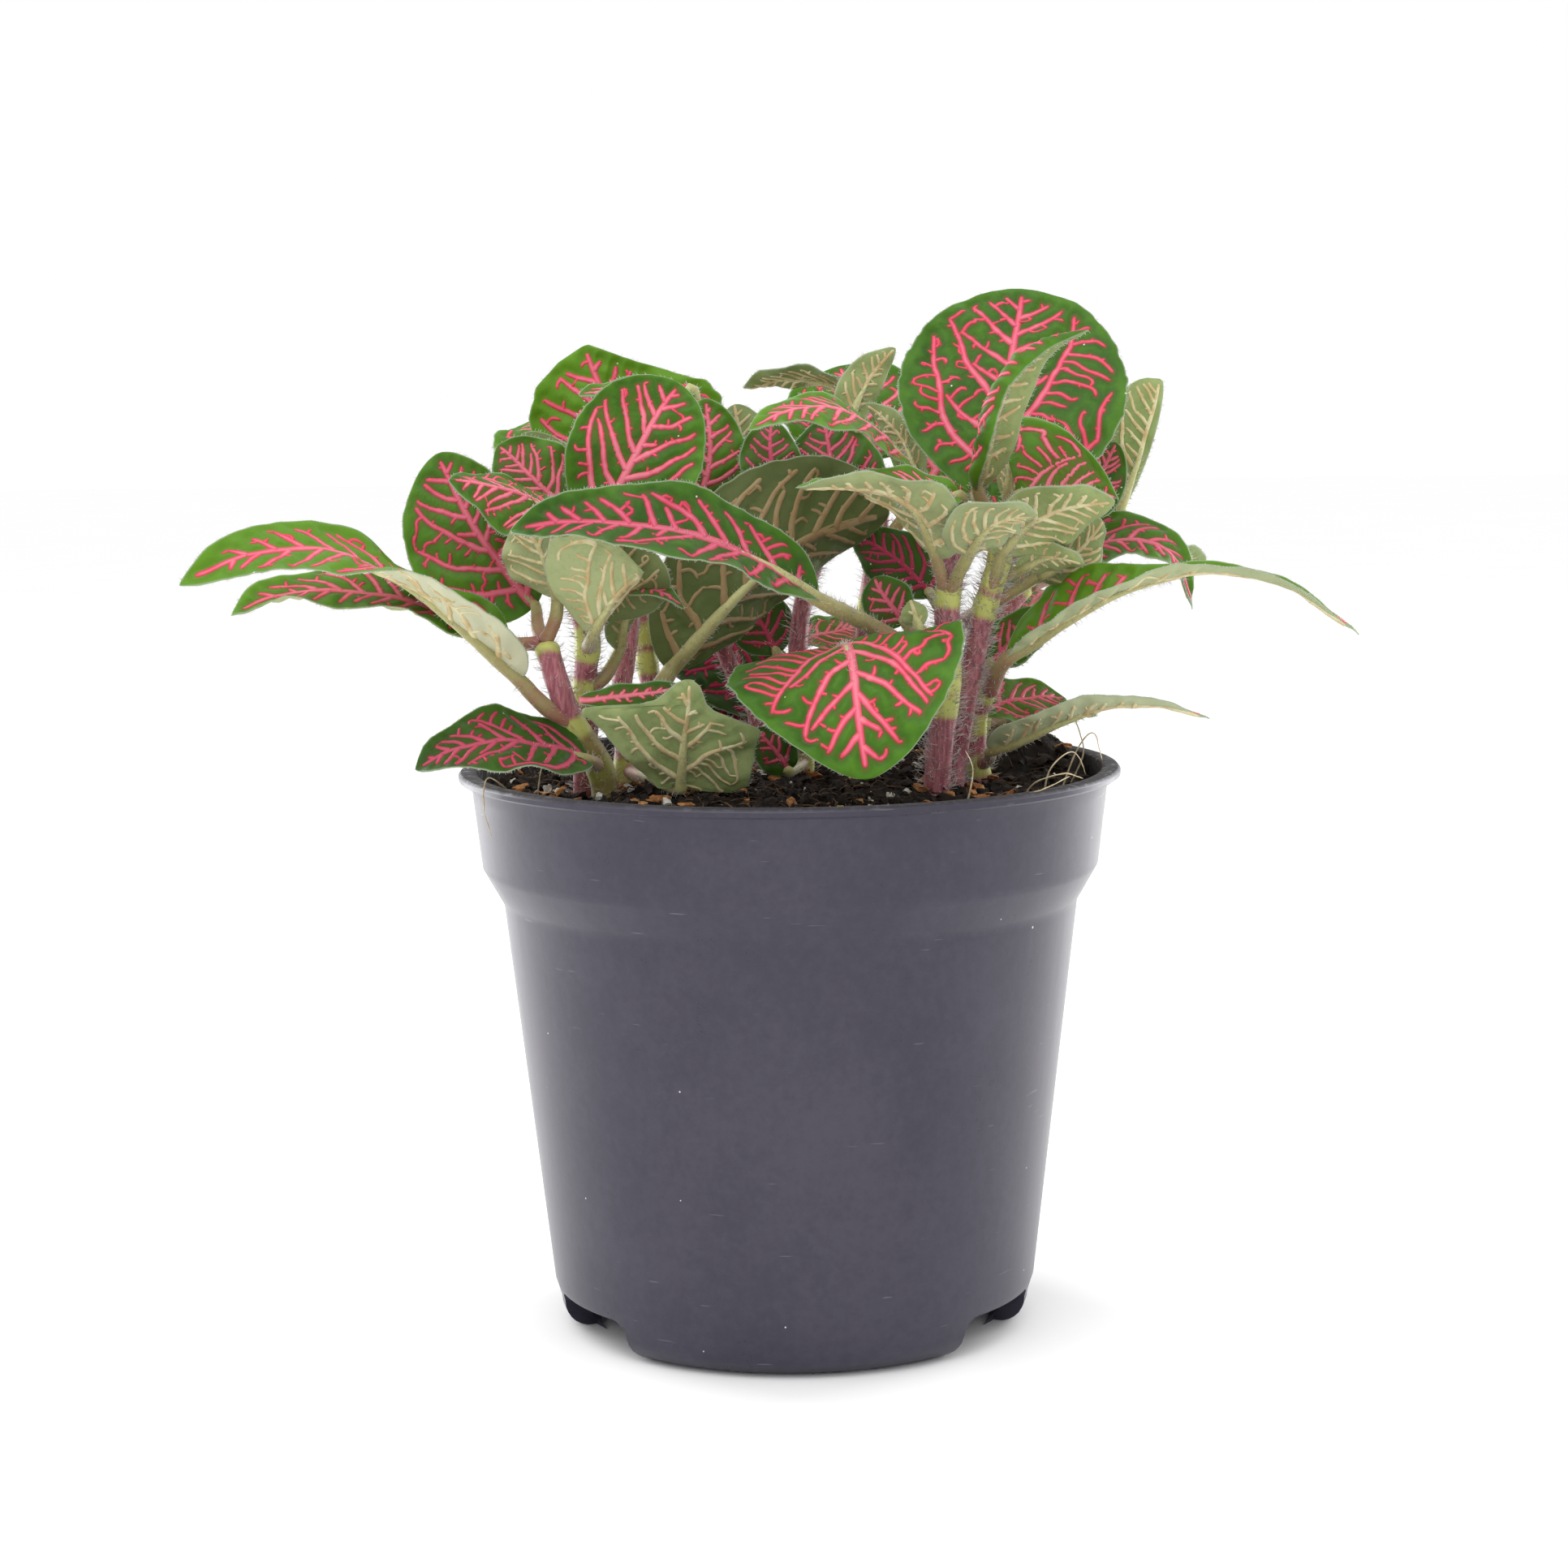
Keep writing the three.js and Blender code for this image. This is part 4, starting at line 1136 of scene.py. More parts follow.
class Blade:
    """One leaf blade with its net of veins, in millimetres."""

    THICKNESS: float = 0.42
    PITCH: float = 0.46
    RISE: float = 0.26
    DIP: float = 0.60
    EDGE_BAND: float = 0.5
    CREST: Pair = (0.05, 0.05)
    KEEL: Pair = (0.07, 0.20)
    RIB_EDGE: float = 0.35
    STRIDES: tuple[int, ...] = (3, 2, 1, 1)
    HAIRS_PER_MM: float = 3.0

    def __init__(self, leaf: Leaf, rng: np.random.Generator) -> None:
        """Sets out the surface and grows the veins.

        Args:
            leaf: the leaf's place.
            rng: where the small differences come from.
        """
        self.leaf = leaf
        self.rng = rng
        self.shape = BladeShape(leaf, rng)
        self.net = VeinNet(self.shape, rng)
        self.tone = float(rng.uniform(0.25, 0.75))
        self.every = self.tree(3)
        self.main = self.tree(1)

    def tree(self, finest: int) -> tuple[KDTree, Array]:
        """A search tree over the points of the veins.

        Args:
            finest: the highest order of vein that it holds.

        Returns:
            The tree and the vein's width at each of its points.
        """
        veins = [vein for vein in self.net.veins if vein.order <= finest]
        points = np.vstack([vein.points for vein in veins])
        tree = KDTree(len(points))
        for index, (x, y) in enumerate(points.tolist()):
            tree.insert((x, y, 0), index)
        tree.balance()
        return tree, np.concatenate([vein.widths for vein in veins])

    def distance(self, flat: Array, tree: tuple[KDTree, Array]) -> Array:
        """The distance to the edge of the nearest vein.

        Args:
            flat: points on the leaf laid flat.
            tree: the veins and their widths.

        Returns:
            The distance from each point, below 0 inside a vein.
        """
        finder, widths = tree
        found = [finder.find((x, y, 0)) for x, y in flat.tolist()]
        return np.array([gap - widths[index] / 2 for _, index, gap in found])

    def height(self, flat: Array) -> Array:
        """How far the tissue rises over the middle surface: it is quilted between the main veins.

        Args:
            flat: points on the leaf laid flat.

        Returns:
            The rise at each.
        """
        k = self.shape.scale
        gap = np.maximum(self.distance(flat, self.main), 0)
        return k * (self.RISE - self.DIP * np.exp(-((gap / k) ** 2))) + self.shape.swell(flat)

    def calm(self, u: Array) -> Array:
        """How much of the relief is left at u: it fades at the base and the tip."""
        return np.clip(np.minimum(u, 1 - u) * 14, 0, 1)

    def thickness(self, u: Array, v: Array) -> Array:
        """Half the blade's thickness: it thins towards the margin, the base and the tip."""
        across = 0.5 * self.THICKNESS * (1 - 0.62 * np.abs(v) ** 3)
        return across * np.clip(np.minimum(u, 1 - u) * 30, 0.25, 1)

    def tissue(self) -> bmesh.types.BMesh:
        """The blade itself, above and below.

        Returns:
            A closed mesh with the numbers that its finish reads.
        """
        shape = self.shape
        rows = max(16, round(shape.length / self.PITCH * (2 if self.leaf.lobes else 1)))
        columns = max(12, round(shape.half.sum() / self.PITCH) // 2 * 2)
        u = 0.5 - 0.5 * np.cos(np.linspace(0, math.pi, rows + 1))
        u = 0.6 * u + 0.4 * np.linspace(0, 1, rows + 1)
        x = np.linspace(-1, 1, columns + 1)
        v = 0.72 * x + 0.28 * np.sin(x * math.pi / 2)
        uu, vv = (grid.ravel() for grid in np.meshgrid(u, v, indexing="ij"))
        flat = shape.flat(uu, vv)
        s = flat[:, 0] / shape.scale
        hand = np.where(vv < 0, 0.0, 2.1)
        short = np.sin(TAU * s / 3.6 + hand + shape.phase[7])
        uneven = 0.012 * (short * np.sin(TAU * s / 9.7 + 2 * hand + shape.phase[3]))
        uneven = uneven + 0.004 * np.sin(TAU * s / 1.7 + 3 * hand + np.sin(0.9 * s))
        point, normal = shape.at(uu, vv * (1 + uneven * np.abs(vv) ** 5))
        rise = self.height(flat) * self.calm(uu)
        half = self.thickness(uu, vv)
        shapes = (rows + 1, columns + 1)
        above = (point + normal * (rise + half)[:, None]).reshape(*shapes, 3)
        below = (point + normal * (rise - half)[:, None]).reshape(*shapes, 3)
        rings = np.concatenate([above, below[:, ::-1]], axis=1)
        rings[0] = rings[0].mean(axis=0)
        rings[-1] = rings[-1].mean(axis=0)
        near = self.distance(flat, self.every).reshape(shapes)
        edge = np.minimum((1 - np.abs(vv)) * shape.width(uu, vv), self.EDGE_BAND).reshape(shapes)
        side = np.concatenate([np.ones(shapes), np.zeros(shapes)], axis=1)
        # Each leaf's painted light and shadow value rides on every point, for the finish to paint light and
        # shadow into the colour.
        tone, shade = (np.full(side.shape, value) for value in (self.tone, self.leaf.shade))
        near, edge = over_both(near), over_both(edge)
        values = {"side": side, "near": near, "edge": edge, "tone": tone, "shade": shade}
        return skin([rings], {name: [table] for name, table in values.items()})

    def ribs(self) -> bmesh.types.BMesh:
        """The veins as low ribs above and rounder ones below.

        Returns:
            A mesh with a closed rib for each vein.
        """
        strips, side, heart = [], [], []
        for vein in self.net.veins:
            last = len(vein.points) - 1
            keep = np.unique(np.append(np.arange(0, last + 1, self.STRIDES[vein.order]), last))
            line, width = vein.points[keep], vein.widths[keep].copy()
            width[-1] *= 0.7
            ahead = unit(np.gradient(line, axis=0))
            across = np.column_stack([-ahead[:, 1], ahead[:, 0]]) * (width / 2)[:, None]
            crest, keel = (low + more * width for low, more in (self.CREST, self.KEEL))
            ring = []
            for sign, below in ((-1, 0), (0, 0), (1, 0), (0.9, 1), (0, 1), (-0.9, 1)):
                flat = line + across * sign
                u, v = self.shape.place(flat)
                point, normal = self.shape.at(u, v)
                lift = self.height(flat) * self.calm(u)
                half = self.thickness(u, v)
                proud = (keel if below else crest) * (1 if sign == 0 else self.RIB_EDGE)
                lift += -(half + proud) if below else half + proud
                ring.append(point + normal * lift[:, None])
            rings = np.stack(ring, axis=1)
            middle = rings.mean(axis=1)
            tip = middle[-1] + unit(middle[-1] - middle[-2]) * 0.3 * width[-1]
            rings = np.concatenate([[0 * rings[0] + middle[0]], rings, [0 * rings[0] + tip]])
            width = np.concatenate([width[:1], width, width[-1:]])
            strips.append(rings)
            full = np.clip(width / (0.9 * self.shape.scale), 0, 1.2)[:, None]
            side.append(np.tile([1.0, 1, 1, 0, 0, 0], (len(width), 1)))
            heart.append(np.tile([0.0, 1, 0, 0, 1, 0], (len(width), 1)) * 0.45 + 0.75 * full - 0.25)
        # The veins carry the leaf's painted light and shadow value too.
        shade = [np.full(table.shape, self.leaf.shade) for table in side]
        return skin(strips, {"side": side, "heart": heart, "shade": shade})

    def fringe(self) -> tuple[Array, Array, Array]:
        """Where the hairs of the margin stand.

        Returns:
            Their feet, directions and lengths.
        """
        shape = self.shape
        count = int(shape.length * self.HAIRS_PER_MM)
        u = self.rng.uniform(0.01, 0.995, 2 * count)
        v = np.repeat([-1.0, 1.0], count)
        foot, normal = shape.at(u, v * 0.995)
        inner, _ = shape.at(u, v * 0.93)
        rise = self.height(shape.flat(u, v * 0.97)) * self.calm(u)
        foot = foot + normal * rise[:, None]
        out = unit(foot - inner - normal * rise[:, None])
        out = unit(out + 0.35 * shape.ahead(u) + self.rng.normal(size=(2 * count, 3)) * 0.22)
        return foot, out, self.rng.uniform(0.3, 0.62, 2 * count)


def hairs(feet: Array, ways: Array, lengths: Array, rng: np.random.Generator) -> bmesh.types.BMesh:
    """Fine hairs, each a three-sided spike with a bend in it.

    Args:
        feet: where each stands.
        ways: the direction that each leaves in.
        lengths: their lengths; a longer hair is thicker.
        rng: where the bends come from.

    Returns:
        A mesh with all of them.
    """
    least, more = 0.026, 0.014
    lean = unit(ways + rng.normal(size=ways.shape) * 0.45 + (0, 0, 0.25))
    spikes = []
    for foot, way, tip_way, length in zip(feet, ways, lean, lengths):
        side = unit(np.cross(way, (0.31, 0.52, 0.79)))
        other = np.cross(way, side)
        ring = np.array([side, -0.5 * side + 0.87 * other, -0.5 * side - 0.87 * other])
        ring = ring * (least + more * length)
        middle = foot + way * length * 0.5
        tip = middle + tip_way * length * 0.5
        spikes.append(np.array([0 * ring + foot, foot + ring, middle + ring * 0.7, 0 * ring + tip]))
    return skin(spikes)


@dataclass(frozen=True)
class Finishes:
    """The materials of the foliage."""

    blade: bpy.types.Material
    vein: bpy.types.Material
    stem: bpy.types.Material
    stalk: bpy.types.Material
    hair: bpy.types.Material


@dataclass(frozen=True)
class Shoot:
    """One stem with its leaves."""

    name: str
    radius: float
    stem: tuple[Point, ...]
    leaves: tuple[Leaf, ...]
    stem_hairs: float = 5.0
    root: float = 10.0
    green_foot: float = 75.5
    STEM_SIDES: ClassVar[int] = 18
    STALK_SIDES: ClassVar[int] = 14

    def stem_path(self) -> Array:
        """Points along the stem, from under the peat to its top."""
        x, y, z = self.stem[0]
        return smooth_path(((x, y, z - self.root), *self.stem), 0.45)

    def nodes(self, path: Array) -> Array:
        """The nodes of the stem, where leaves leave it.

        Args:
            path: points along the stem.

        Returns:
            How strongly each point is part of a node, from 0 to 1.
        """
        starts = np.array([(leaf.stalk or leaf.midrib)[0] for leaf in self.leaves], float)
        gaps = np.linalg.norm(path[:, None] - starts[None], axis=2)
        return np.exp(-((gaps.min(axis=1) / 2.0) ** 2))

    def stem_mesh(self) -> tuple[bmesh.types.BMesh, Array, Array]:
        """The stem, with ridges and swollen nodes.

        Returns:
            Its mesh, its path and its radius along the path.
        """
        path = self.stem_path()
        swell = self.nodes(path)
        share = np.linspace(0, 1, len(path))
        radius = self.radius * (1.04 - 0.20 * share) + 0.22 * swell
        radius[-3:] *= (0.9, 0.65, 0.3)
        sides = self.STEM_SIDES
        angle = np.linspace(0, TAU, sides, endpoint=False)
        rough = noise_at(round_places(path, sides, 2) * (1, 1, 0.4), 1.6).reshape(len(path), sides)
        rings = tube(path, radius[:, None] + 0.11 * rough + 0.05 * np.cos(5 * angle)[None], sides)
        wide = np.ones((1, sides))
        foot = np.clip((self.green_foot - path[:, 2]) / 2.5, 0, 1)
        values = {"band": [swell[:, None] * wide], "foot": [foot[:, None] * wide]}
        return skin([rings], values), path, radius

    def stalk_strip(self, leaf: Leaf, shape: BladeShape) -> tuple[Array, Array]:
        """The stalk of one leaf, which runs on under the foot of its midrib.

        Args:
            leaf: the leaf.
            shape: its surface.

        Returns:
            The stalk's rings and how far along it each of them is.
        """
        under = shape.at(np.array([0.0, 0.08, 0.2, 0.36, 0.55]), np.zeros(5))
        run = under[0] - under[1] * np.array([0.1, 0.5, 0.62, 0.55, 0.42])[:, None]
        path = smooth_path((*leaf.stalk, *map(tuple, run)), 0.5)
        share = np.linspace(0, 1, len(path))
        foot = 1 - min(0.9, 0.55 * shape.length / (0.5 * len(path)))
        stations = [0, 0.3 * foot, foot, foot + 0.4 * (1 - foot), 1]
        radius = leaf.stalk_radius * np.interp(share, stations, [1.15, 1.0, 0.85, 0.62, 0.15])
        sides = self.STALK_SIDES
        rough = noise_at(round_places(path, sides, 1), 1.3).reshape(len(path), sides)
        rings = tube(path, radius[:, None] * (1 + 0.07 * rough), sides)
        return rings, np.repeat(share[:, None], sides, axis=1)

    def bristles(self, path: Array, radius: Array, rng: np.random.Generator) -> tuple[Array, Array, Array]:
        """Where the hairs of a stem or stalk stand.

        Args:
            path: points along its middle.
            radius: its radius at each.
            rng: where the places come from.

        Returns:
            Their feet, directions and lengths.
        """
        length = float(np.linalg.norm(np.diff(path, axis=0), axis=1).sum())
        count = int(length * self.stem_hairs * TAU * float(radius.mean()) / 4)
        ahead, side, other = frames(path)
        index = rng.uniform(0, len(path) - 1.01, count)
        low = index.astype(int)
        share = (index - low)[:, None]
        angle = rng.uniform(0, TAU, count)
        out = side[low] * np.cos(angle)[:, None] + other[low] * np.sin(angle)[:, None]
        foot = path[low] * (1 - share) + path[low + 1] * share + out * (radius[low] * 0.95)[:, None]
        way = unit(out + 0.35 * ahead[low] + rng.normal(size=(count, 3)) * 0.25)
        return foot, way, rng.uniform(0.5, 1.0, count)

    def add(self, part: str, bm: bmesh.types.BMesh, finish: bpy.types.Material) -> None:
        """Makes one piece of the shoot."""
        make_piece(f"{self.name}_{part}", bm, finish, self.name)

    def build(self, finishes: Finishes, rng: np.random.Generator) -> None:
        """Builds the leaves, veins, stem, stalks and hairs.

        Args:
            finishes: the foliage materials.
            rng: where the small differences come from.
        """
        blades = [Blade(leaf, rng) for leaf in self.leaves]
        stem, path, radius = self.stem_mesh()
        strips, shares = [], []
        feet, ways, lengths = self.bristles(path, radius, rng)
        tufts = [(feet, ways, lengths * (1.5 + 0.06 * self.stem_hairs))]
        for blade in blades:
            if blade.leaf.stalk:
                rings, share = self.stalk_strip(blade.leaf, blade.shape)
                strips.append(rings)
                shares.append(share)
                middle = rings.mean(axis=1)
                girth = np.linalg.norm(rings[:, 0] - middle, axis=1)
                feet, ways, lengths = self.bristles(middle[2:-2], girth[2:-2], rng)
                tufts.append((feet, ways, lengths))
            tufts.append(blade.fringe())
        feet, ways, lengths = (np.concatenate(group) for group in zip(*tufts))
        self.add("blades", gather([blade.tissue() for blade in blades]), finishes.blade)
        self.add("veins", gather([blade.ribs() for blade in blades]), finishes.vein)
        self.add("stem", stem, finishes.stem)
        if strips:
            stalks = [skin([rings], {"along": [share]}) for rings, share in zip(strips, shares)]
            self.add("stalks", gather(stalks), finishes.stalk)
        self.add("hairs", hairs(feet, ways, lengths, rng), finishes.hair)


# ---------------------------------------------------------------- the shoots


# Each leaf's painted light and shadow value paints shadow into the colour of leaves deep in the plant when
# above 0, and paints light into a leaf given a value below 0.
SHOOTS: tuple[Shoot, ...] = (
    Shoot(
        "shoot_left_front", radius=1.8, green_foot=84.5,
        stem=((-24.5, -14, 74), (-25.5, -15, 79.5), (-28.5, -16, 84.5), (-30.5, -17, 90.5), (-32, -16, 95.5)),
        leaves=(
            Leaf(((-35, -19, 90.5), (-48, -22, 103.0), (-61.5, -27, 108.5), (-76.3, -34, 104.3)),
                 (9.5, 7.5), (0.05, -0.25, 0.95), Outline.TAPERED, fold=(8, 5), twist=75, wave=0.6,
                 shade=-0.8, stalk=((-28, -16, 84), (-32, -18, 87)), stalk_radius=1.15),
            Leaf(((-36.5, -14, 95), (-48.5, -16.5, 100.5), (-61, -18.5, 102.5), (-72, -21.5, 99.5)),
                 (4.5, 7), (0, -0.45, 0.9), Outline.TAPERED, fold=(4, 4), wave=0.9,
                 stalk=((-32, -16, 95),)),
            Leaf(((-33.5, -10, 99.5), (-40, -8, 107.5), (-47, -3, 119.5)), (10.5, 7.5),
                 (-0.25, -0.93, 0.25), Outline.ROUND, fold=(5, 5), wave=0.5, shade=0.3,
                 stalk=((-32, -16, 95), (-33, -13, 97))),
            Leaf(((-30, -17.5, 101), (-31.5, -20, 106.5), (-34.5, -21.5, 111.5)), (6.5, 6),
                 (0.1, 0.9, 0.35), Outline.ROUND, fold=(10, 10), wave=0.5, shade=-0.2,
                 stalk=((-32, -16, 95), (-30.5, -17, 98))),
            Leaf(((-26, -20, 80), (-33.5, -24, 83), (-41, -27, 83), (-48, -28, 80)), (7.5, 7),
                 (-0.03, -0.5, 0.85), Outline.TAPERED, fold=(3, 3), wave=0.5, shade=0.65,
                 stalk=((-25, -14.5, 78.5),)),
        ),
    ),
    Shoot(
        "shoot_left", radius=1.6, stem_hairs=10,
        stem=(
            (-27.5, -9, 74), (-27, -10, 83), (-27, -12, 89.5), (-26.5, -13, 95.5),
            (-28.5, -11, 102.5), (-28.5, -8, 108.5),
        ),
        leaves=(
            Leaf(((-28.5, -10.5, 111), (-36, -13.5, 115), (-44, -16.5, 116.5)), (7, 7), (-0.1, -0.6, 0.8),
                 Outline.TAPERED, fold=(-25, -25), wave=0.4, stalk=((-28.5, -8, 108),)),
            Leaf(((-30.5, -3, 112.5), (-34.5, -1.5, 116.5), (-39, 1, 120.5)), (5, 6), (-0.1, -0.9, 0.4),
                 wave=0.5, shade=0.25, stalk=((-28.5, -8, 108),)),
            Leaf(((-32, 4, 110.5), (-33.5, 6, 115.5), (-36, 9, 122)), (6.5, 7), (0.1, 0.95, 0.2), wave=0.4,
                 shade=0.65, stalk=((-28.5, -8, 107.5), (-30, -3, 108.5))),
            Leaf(((-25.5, -15.5, 98), (-24, -16.5, 104.5), (-23, -17, 110)), (9, 5), (0, 0.95, 0.1),
                 wave=0.3, shade=0.8, stalk=((-26.5, -13, 95.5),)),
            Leaf(((-25.5, -19, 96), (-22.5, -23.5, 101), (-18.6, -25, 105)), (6, 11), (0, 0.98, 0.1),
                 Outline.FAN, fold=(80, 0), wave=0.4, shade=-0.15, stalk=((-26.5, -13, 94),)),
            Leaf(((-22.5, -10, 93.5), (-21.5, -12.5, 99.5), (-18.5, -15.5, 102), (-13.5, -18.5, 99.5)),
                 (3, 3.5), (0.35, -0.45, 0.85), wave=0.3, shade=0.5,
                 stalk=((-27, -12, 88.5), (-24.5, -12, 90))),
            Leaf(((-24.5, -9, 109), (-20, -8, 119.5), (-14, -3, 128.5)), (9, 9), (0.1, -0.97, 0.2),
                 Outline.ROUND, fold=(4, 4), wave=0.5, stalk=((-28.5, -11, 103), (-26, -10, 105.5))),
        ),
    ),
    Shoot(
        "shoot_centre_left", radius=1.5,
        stem=((-22.5, -6, 74), (-22, -6, 79), (-22.5, -5, 87.5), (-21.5, -1, 98.5), (-25, 4, 108)),
        leaves=(
            Leaf(((-16, -4, 90), (-6, -4, 101), (3.5, -1, 108), (14, 3, 110.5)), (12, 12.3),
                 (-0.2, 0.95, 0.2), Outline.BLUNT, fold=(45, 8), wave=0.7,
                 stalk=((-22, -6, 77), (-19.5, -7, 84.5)), stalk_radius=1.3, shade=1),
            Leaf(((-18, 8.5, 112), (-23.5, 12, 123), (-27.7, 14, 133.8)), (11.5, 15), (0.05, -0.93, 0.3),
                 fold=(3, 3), wave=0.4, shade=-0.35, stalk=((-25, 4, 107.5),),
                 lobes=(
                     (
                         (0, 0.1), (0.1, 0.5), (0.3, 0.85), (0.5, 1), (0.7, 0.96), (0.85, 0.74),
                         (0.95, 0.38), (1, 0.03),
                     ),
                     (
                         (0, 0.1), (0.1, 0.55), (0.25, 0.9), (0.38, 1), (0.52, 0.92), (0.68, 0.64),
                         (0.84, 0.32), (0.95, 0.12), (1, 0.03),
                     ),
                 )),
            Leaf(((-14.5, -20, 76.2), (-13.5, -24, 84), (-12.7, -27, 91.2)), (9.7, 13.8), (0, 0.75, 0.65),
                 Outline.FAN, fold=(-6, -8), wave=0.4, stalk=((-22, -6, 77), (-18.5, -13, 76.8)),
                 lobes=(
                     (
                         (0, 0.7), (0.1, 0.93), (0.3, 0.95), (0.5, 0.98), (0.6, 1), (0.63, 0.94),
                         (0.68, 0.6), (0.71, 0.38), (0.77, 0.25), (0.86, 0.2), (0.94, 0.14), (1, 0.04),
                     ),
                     (
                         (0, 0.2), (0.15, 0.4), (0.33, 0.6), (0.52, 0.8), (0.66, 0.95), (0.73, 1),
                         (0.745, 0.9), (0.765, 0.45), (0.8, 0.31), (0.88, 0.2), (0.95, 0.13), (1, 0.04),
                     ),
                 )),
            Leaf(((-27.2, -24.2, 88.3), (-20.5, -24.6, 88.9), (-13.4, -25.2, 90)), (1.8, 1.7),
                 (0, -0.8, 0.6), Outline.BLUNT, wave=0.3),
        ),
    ),
    Shoot(
        "shoot_centre", radius=1.3, stem_hairs=11,
        stem=((-6, 8, 74), (-4.5, 8, 82.5), (-8, 8, 89.5), (-10, 6, 95.5), (-11.5, 4, 103.5)),
        leaves=(
            Leaf(((-12.5, 9, 127), (-20, 5.5, 128), (-28, 2, 127)), (4, 4), (0, -0.3, 0.95), wave=0.3,
                 stalk=((-11, 4, 102.5), (-11.5, 9, 114.5))),
            Leaf(((-13, 2, 110), (-10.5, 3, 118), (-11, 6, 126.5)), (7.5, 5.5), (0.1, -0.95, 0.3), wave=0.4,
                 shade=0.15, stalk=((-11.5, 4, 103),)),
            Leaf(((-1, 1, 114.5), (-2, 1, 118.5), (-2, 3.5, 123.5)), (4.5, 4), (0, -0.95, 0.2), wave=0.4,
                 shade=0.6, stalk=((-11, 5, 101), (-6, 5, 107.5))),
            Leaf(((-6, 10, 118.5), (-6.5, 11, 122), (-7, 13, 125.5)), (4, 4), (0, 0.95, 0.2), wave=0.4,
                 shade=0.6, stalk=((-11.5, 4, 103), (-9, 8, 111))),
        ),
    ),
    Shoot(
        "shoot_centre_back", radius=1.4, stem_hairs=10,
        stem=((2, 5, 74), (1.5, 6, 83), (1.5, 8, 94), (3.5, 10, 103), (7, 12, 109.5), (8.5, 14, 116)),
        leaves=(
            Leaf(((11, 20, 127), (2.5, 24, 129), (-6, 28, 127.5)), (5, 5), (0, 0.35, 0.93), Outline.TAPERED,
                 wave=0.3, stalk=((8.5, 14, 115.5), (10.5, 17, 123))),
            Leaf(((3, -10, 83.5), (-1, -14, 85), (-4.5, -15, 88.5)), (3, 3), (0, -0.7, 0.6), wave=0.3,
                 shade=0.3, stalk=((1.5, 5, 78.5), (3, -3, 81))),
            Leaf(((0, -2, 76), (-2, -3, 79), (-4.5, -2, 82)), (3, 3), (0, -0.9, 0.3), wave=0.3, shade=0.6,
                 stalk=((2, 5, 76.5),)),
            Leaf(((-1.5, 9.5, 91), (-4, 11, 95.5), (-7, 12.5, 99.5)), (4.5, 4.5), (0, -0.9, 0.3), wave=0.4,
                 shade=0.75, stalk=((1.5, 6, 86.5),)),
            Leaf(((7, 7, 110), (6.5, 9, 116.5), (5, 13, 123.5)), (7, 7), (0, -0.95, 0.2), wave=0.5,
                 shade=0.5, stalk=((6, 11, 108),)),
            Leaf(((8.5, 14, 121.5), (11, 16, 127.5), (15.5, 20, 133)), (2.2, 3.6), (0.1, 0.95, 0.2),
                 wave=0.4, shade=0.4, stalk=((8.5, 14, 115.5),)),
            Leaf(((18, 4, 114), (16.5, 6, 120), (11, 10, 125.5)), (2.6, 3), (0.3, 0.8, 0.5), wave=0.4,
                 shade=0.5, stalk=((7, 12, 109.5), (12.5, 8, 111.5))),
            Leaf(((1.5, 25, 91.5), (7, 28, 92.5), (11, 31, 93)), (4, 4), (0, -0.6, 0.8), wave=0.3,
                 shade=0.2, stalk=((1.5, 7, 88.5), (1.5, 18, 90.5))),
        ),
    ),
    Shoot(
        "shoot_right_front", radius=1.8, stem_hairs=12,
        stem=(
            (19.5, -12, 74), (20, -12, 80.5), (21, -12, 89), (21, -12, 99.5), (22, -12, 105),
            (22.5, -10, 111),
        ),
        leaves=(
            Leaf(((7, -19, 93.5), (7.5, -28.5, 95), (8.5, -36, 89.5), (9.5, -39, 79.5)), (15, 16),
                 (-0.15, -0.8, 0.6), Outline.SHOULDERED, fold=(-3, -3), wave=0.4,
                 stalk=((20.5, -12, 86), (14, -16, 90)), stalk_radius=1.2),
            Leaf(((4, -24, 101), (-7, -29, 108), (-20.5, -32, 111.5), (-35, -30, 110.5)), (7.5, 7),
                 (0, -0.55, 0.83), Outline.OVATE, fold=(10, 20), wave=0.5, shade=0.35,
                 stalk=((21, -12, 89), (13, -14.5, 95.5)), stalk_radius=1.2),
            Leaf(((15.5, -12.5, 97), (13, -12.5, 100), (11.5, -11, 103)), (3.5, 3.5), (-0.1, -0.95, 0.2),
                 wave=0.2, shade=0.35, stalk=((20.5, -12, 90),)),
            Leaf(((17, -15, 96.5), (16.5, -16, 98.5), (16, -15, 100)), (1.8, 1.8), (-0.1, 0.95, 0.2),
                 wave=0.1, stalk=((21, -12, 93),)),
            Leaf(((19.5, -15.5, 105.5), (16.5, -21.5, 112.5), (10.5, -26, 115.5), (1, -29, 115.5)), (6, 9),
                 (0.1, 0.45, 0.9), Outline.TAPERED, fold=(0, 20), wave=0.5, shade=-0.15,
                 stalk=((21, -12, 100.5),)),
            Leaf(((23.5, -17, 106), (26.5, -22, 110.5), (32, -24, 111.5)), (4.5, 6), (-0.1, 0.6, 0.8),
                 wave=0.5, shade=-0.2, stalk=((21, -12, 100.5),)),
            Leaf(((23, -13, 113.5), (16, -15.5, 115), (8.5, -17, 116)), (4, 4), (0, -0.6, 0.8), wave=0.4,
                 stalk=((22.5, -10, 110),)),
            Leaf(((17, -6, 116.5), (10.5, -10, 123.5), (3, -13, 125.5), (-5, -16, 122.5)), (6, 6.5),
                 (-0.05, -0.4, 0.9), Outline.TAPERED, fold=(-8, -8), wave=0.4,
                 stalk=((22.5, -10, 110), (20.5, -7, 114))),
        ),
    ),
    Shoot(
        "shoot_right_tall", radius=1.7, stem_hairs=14,
        stem=(
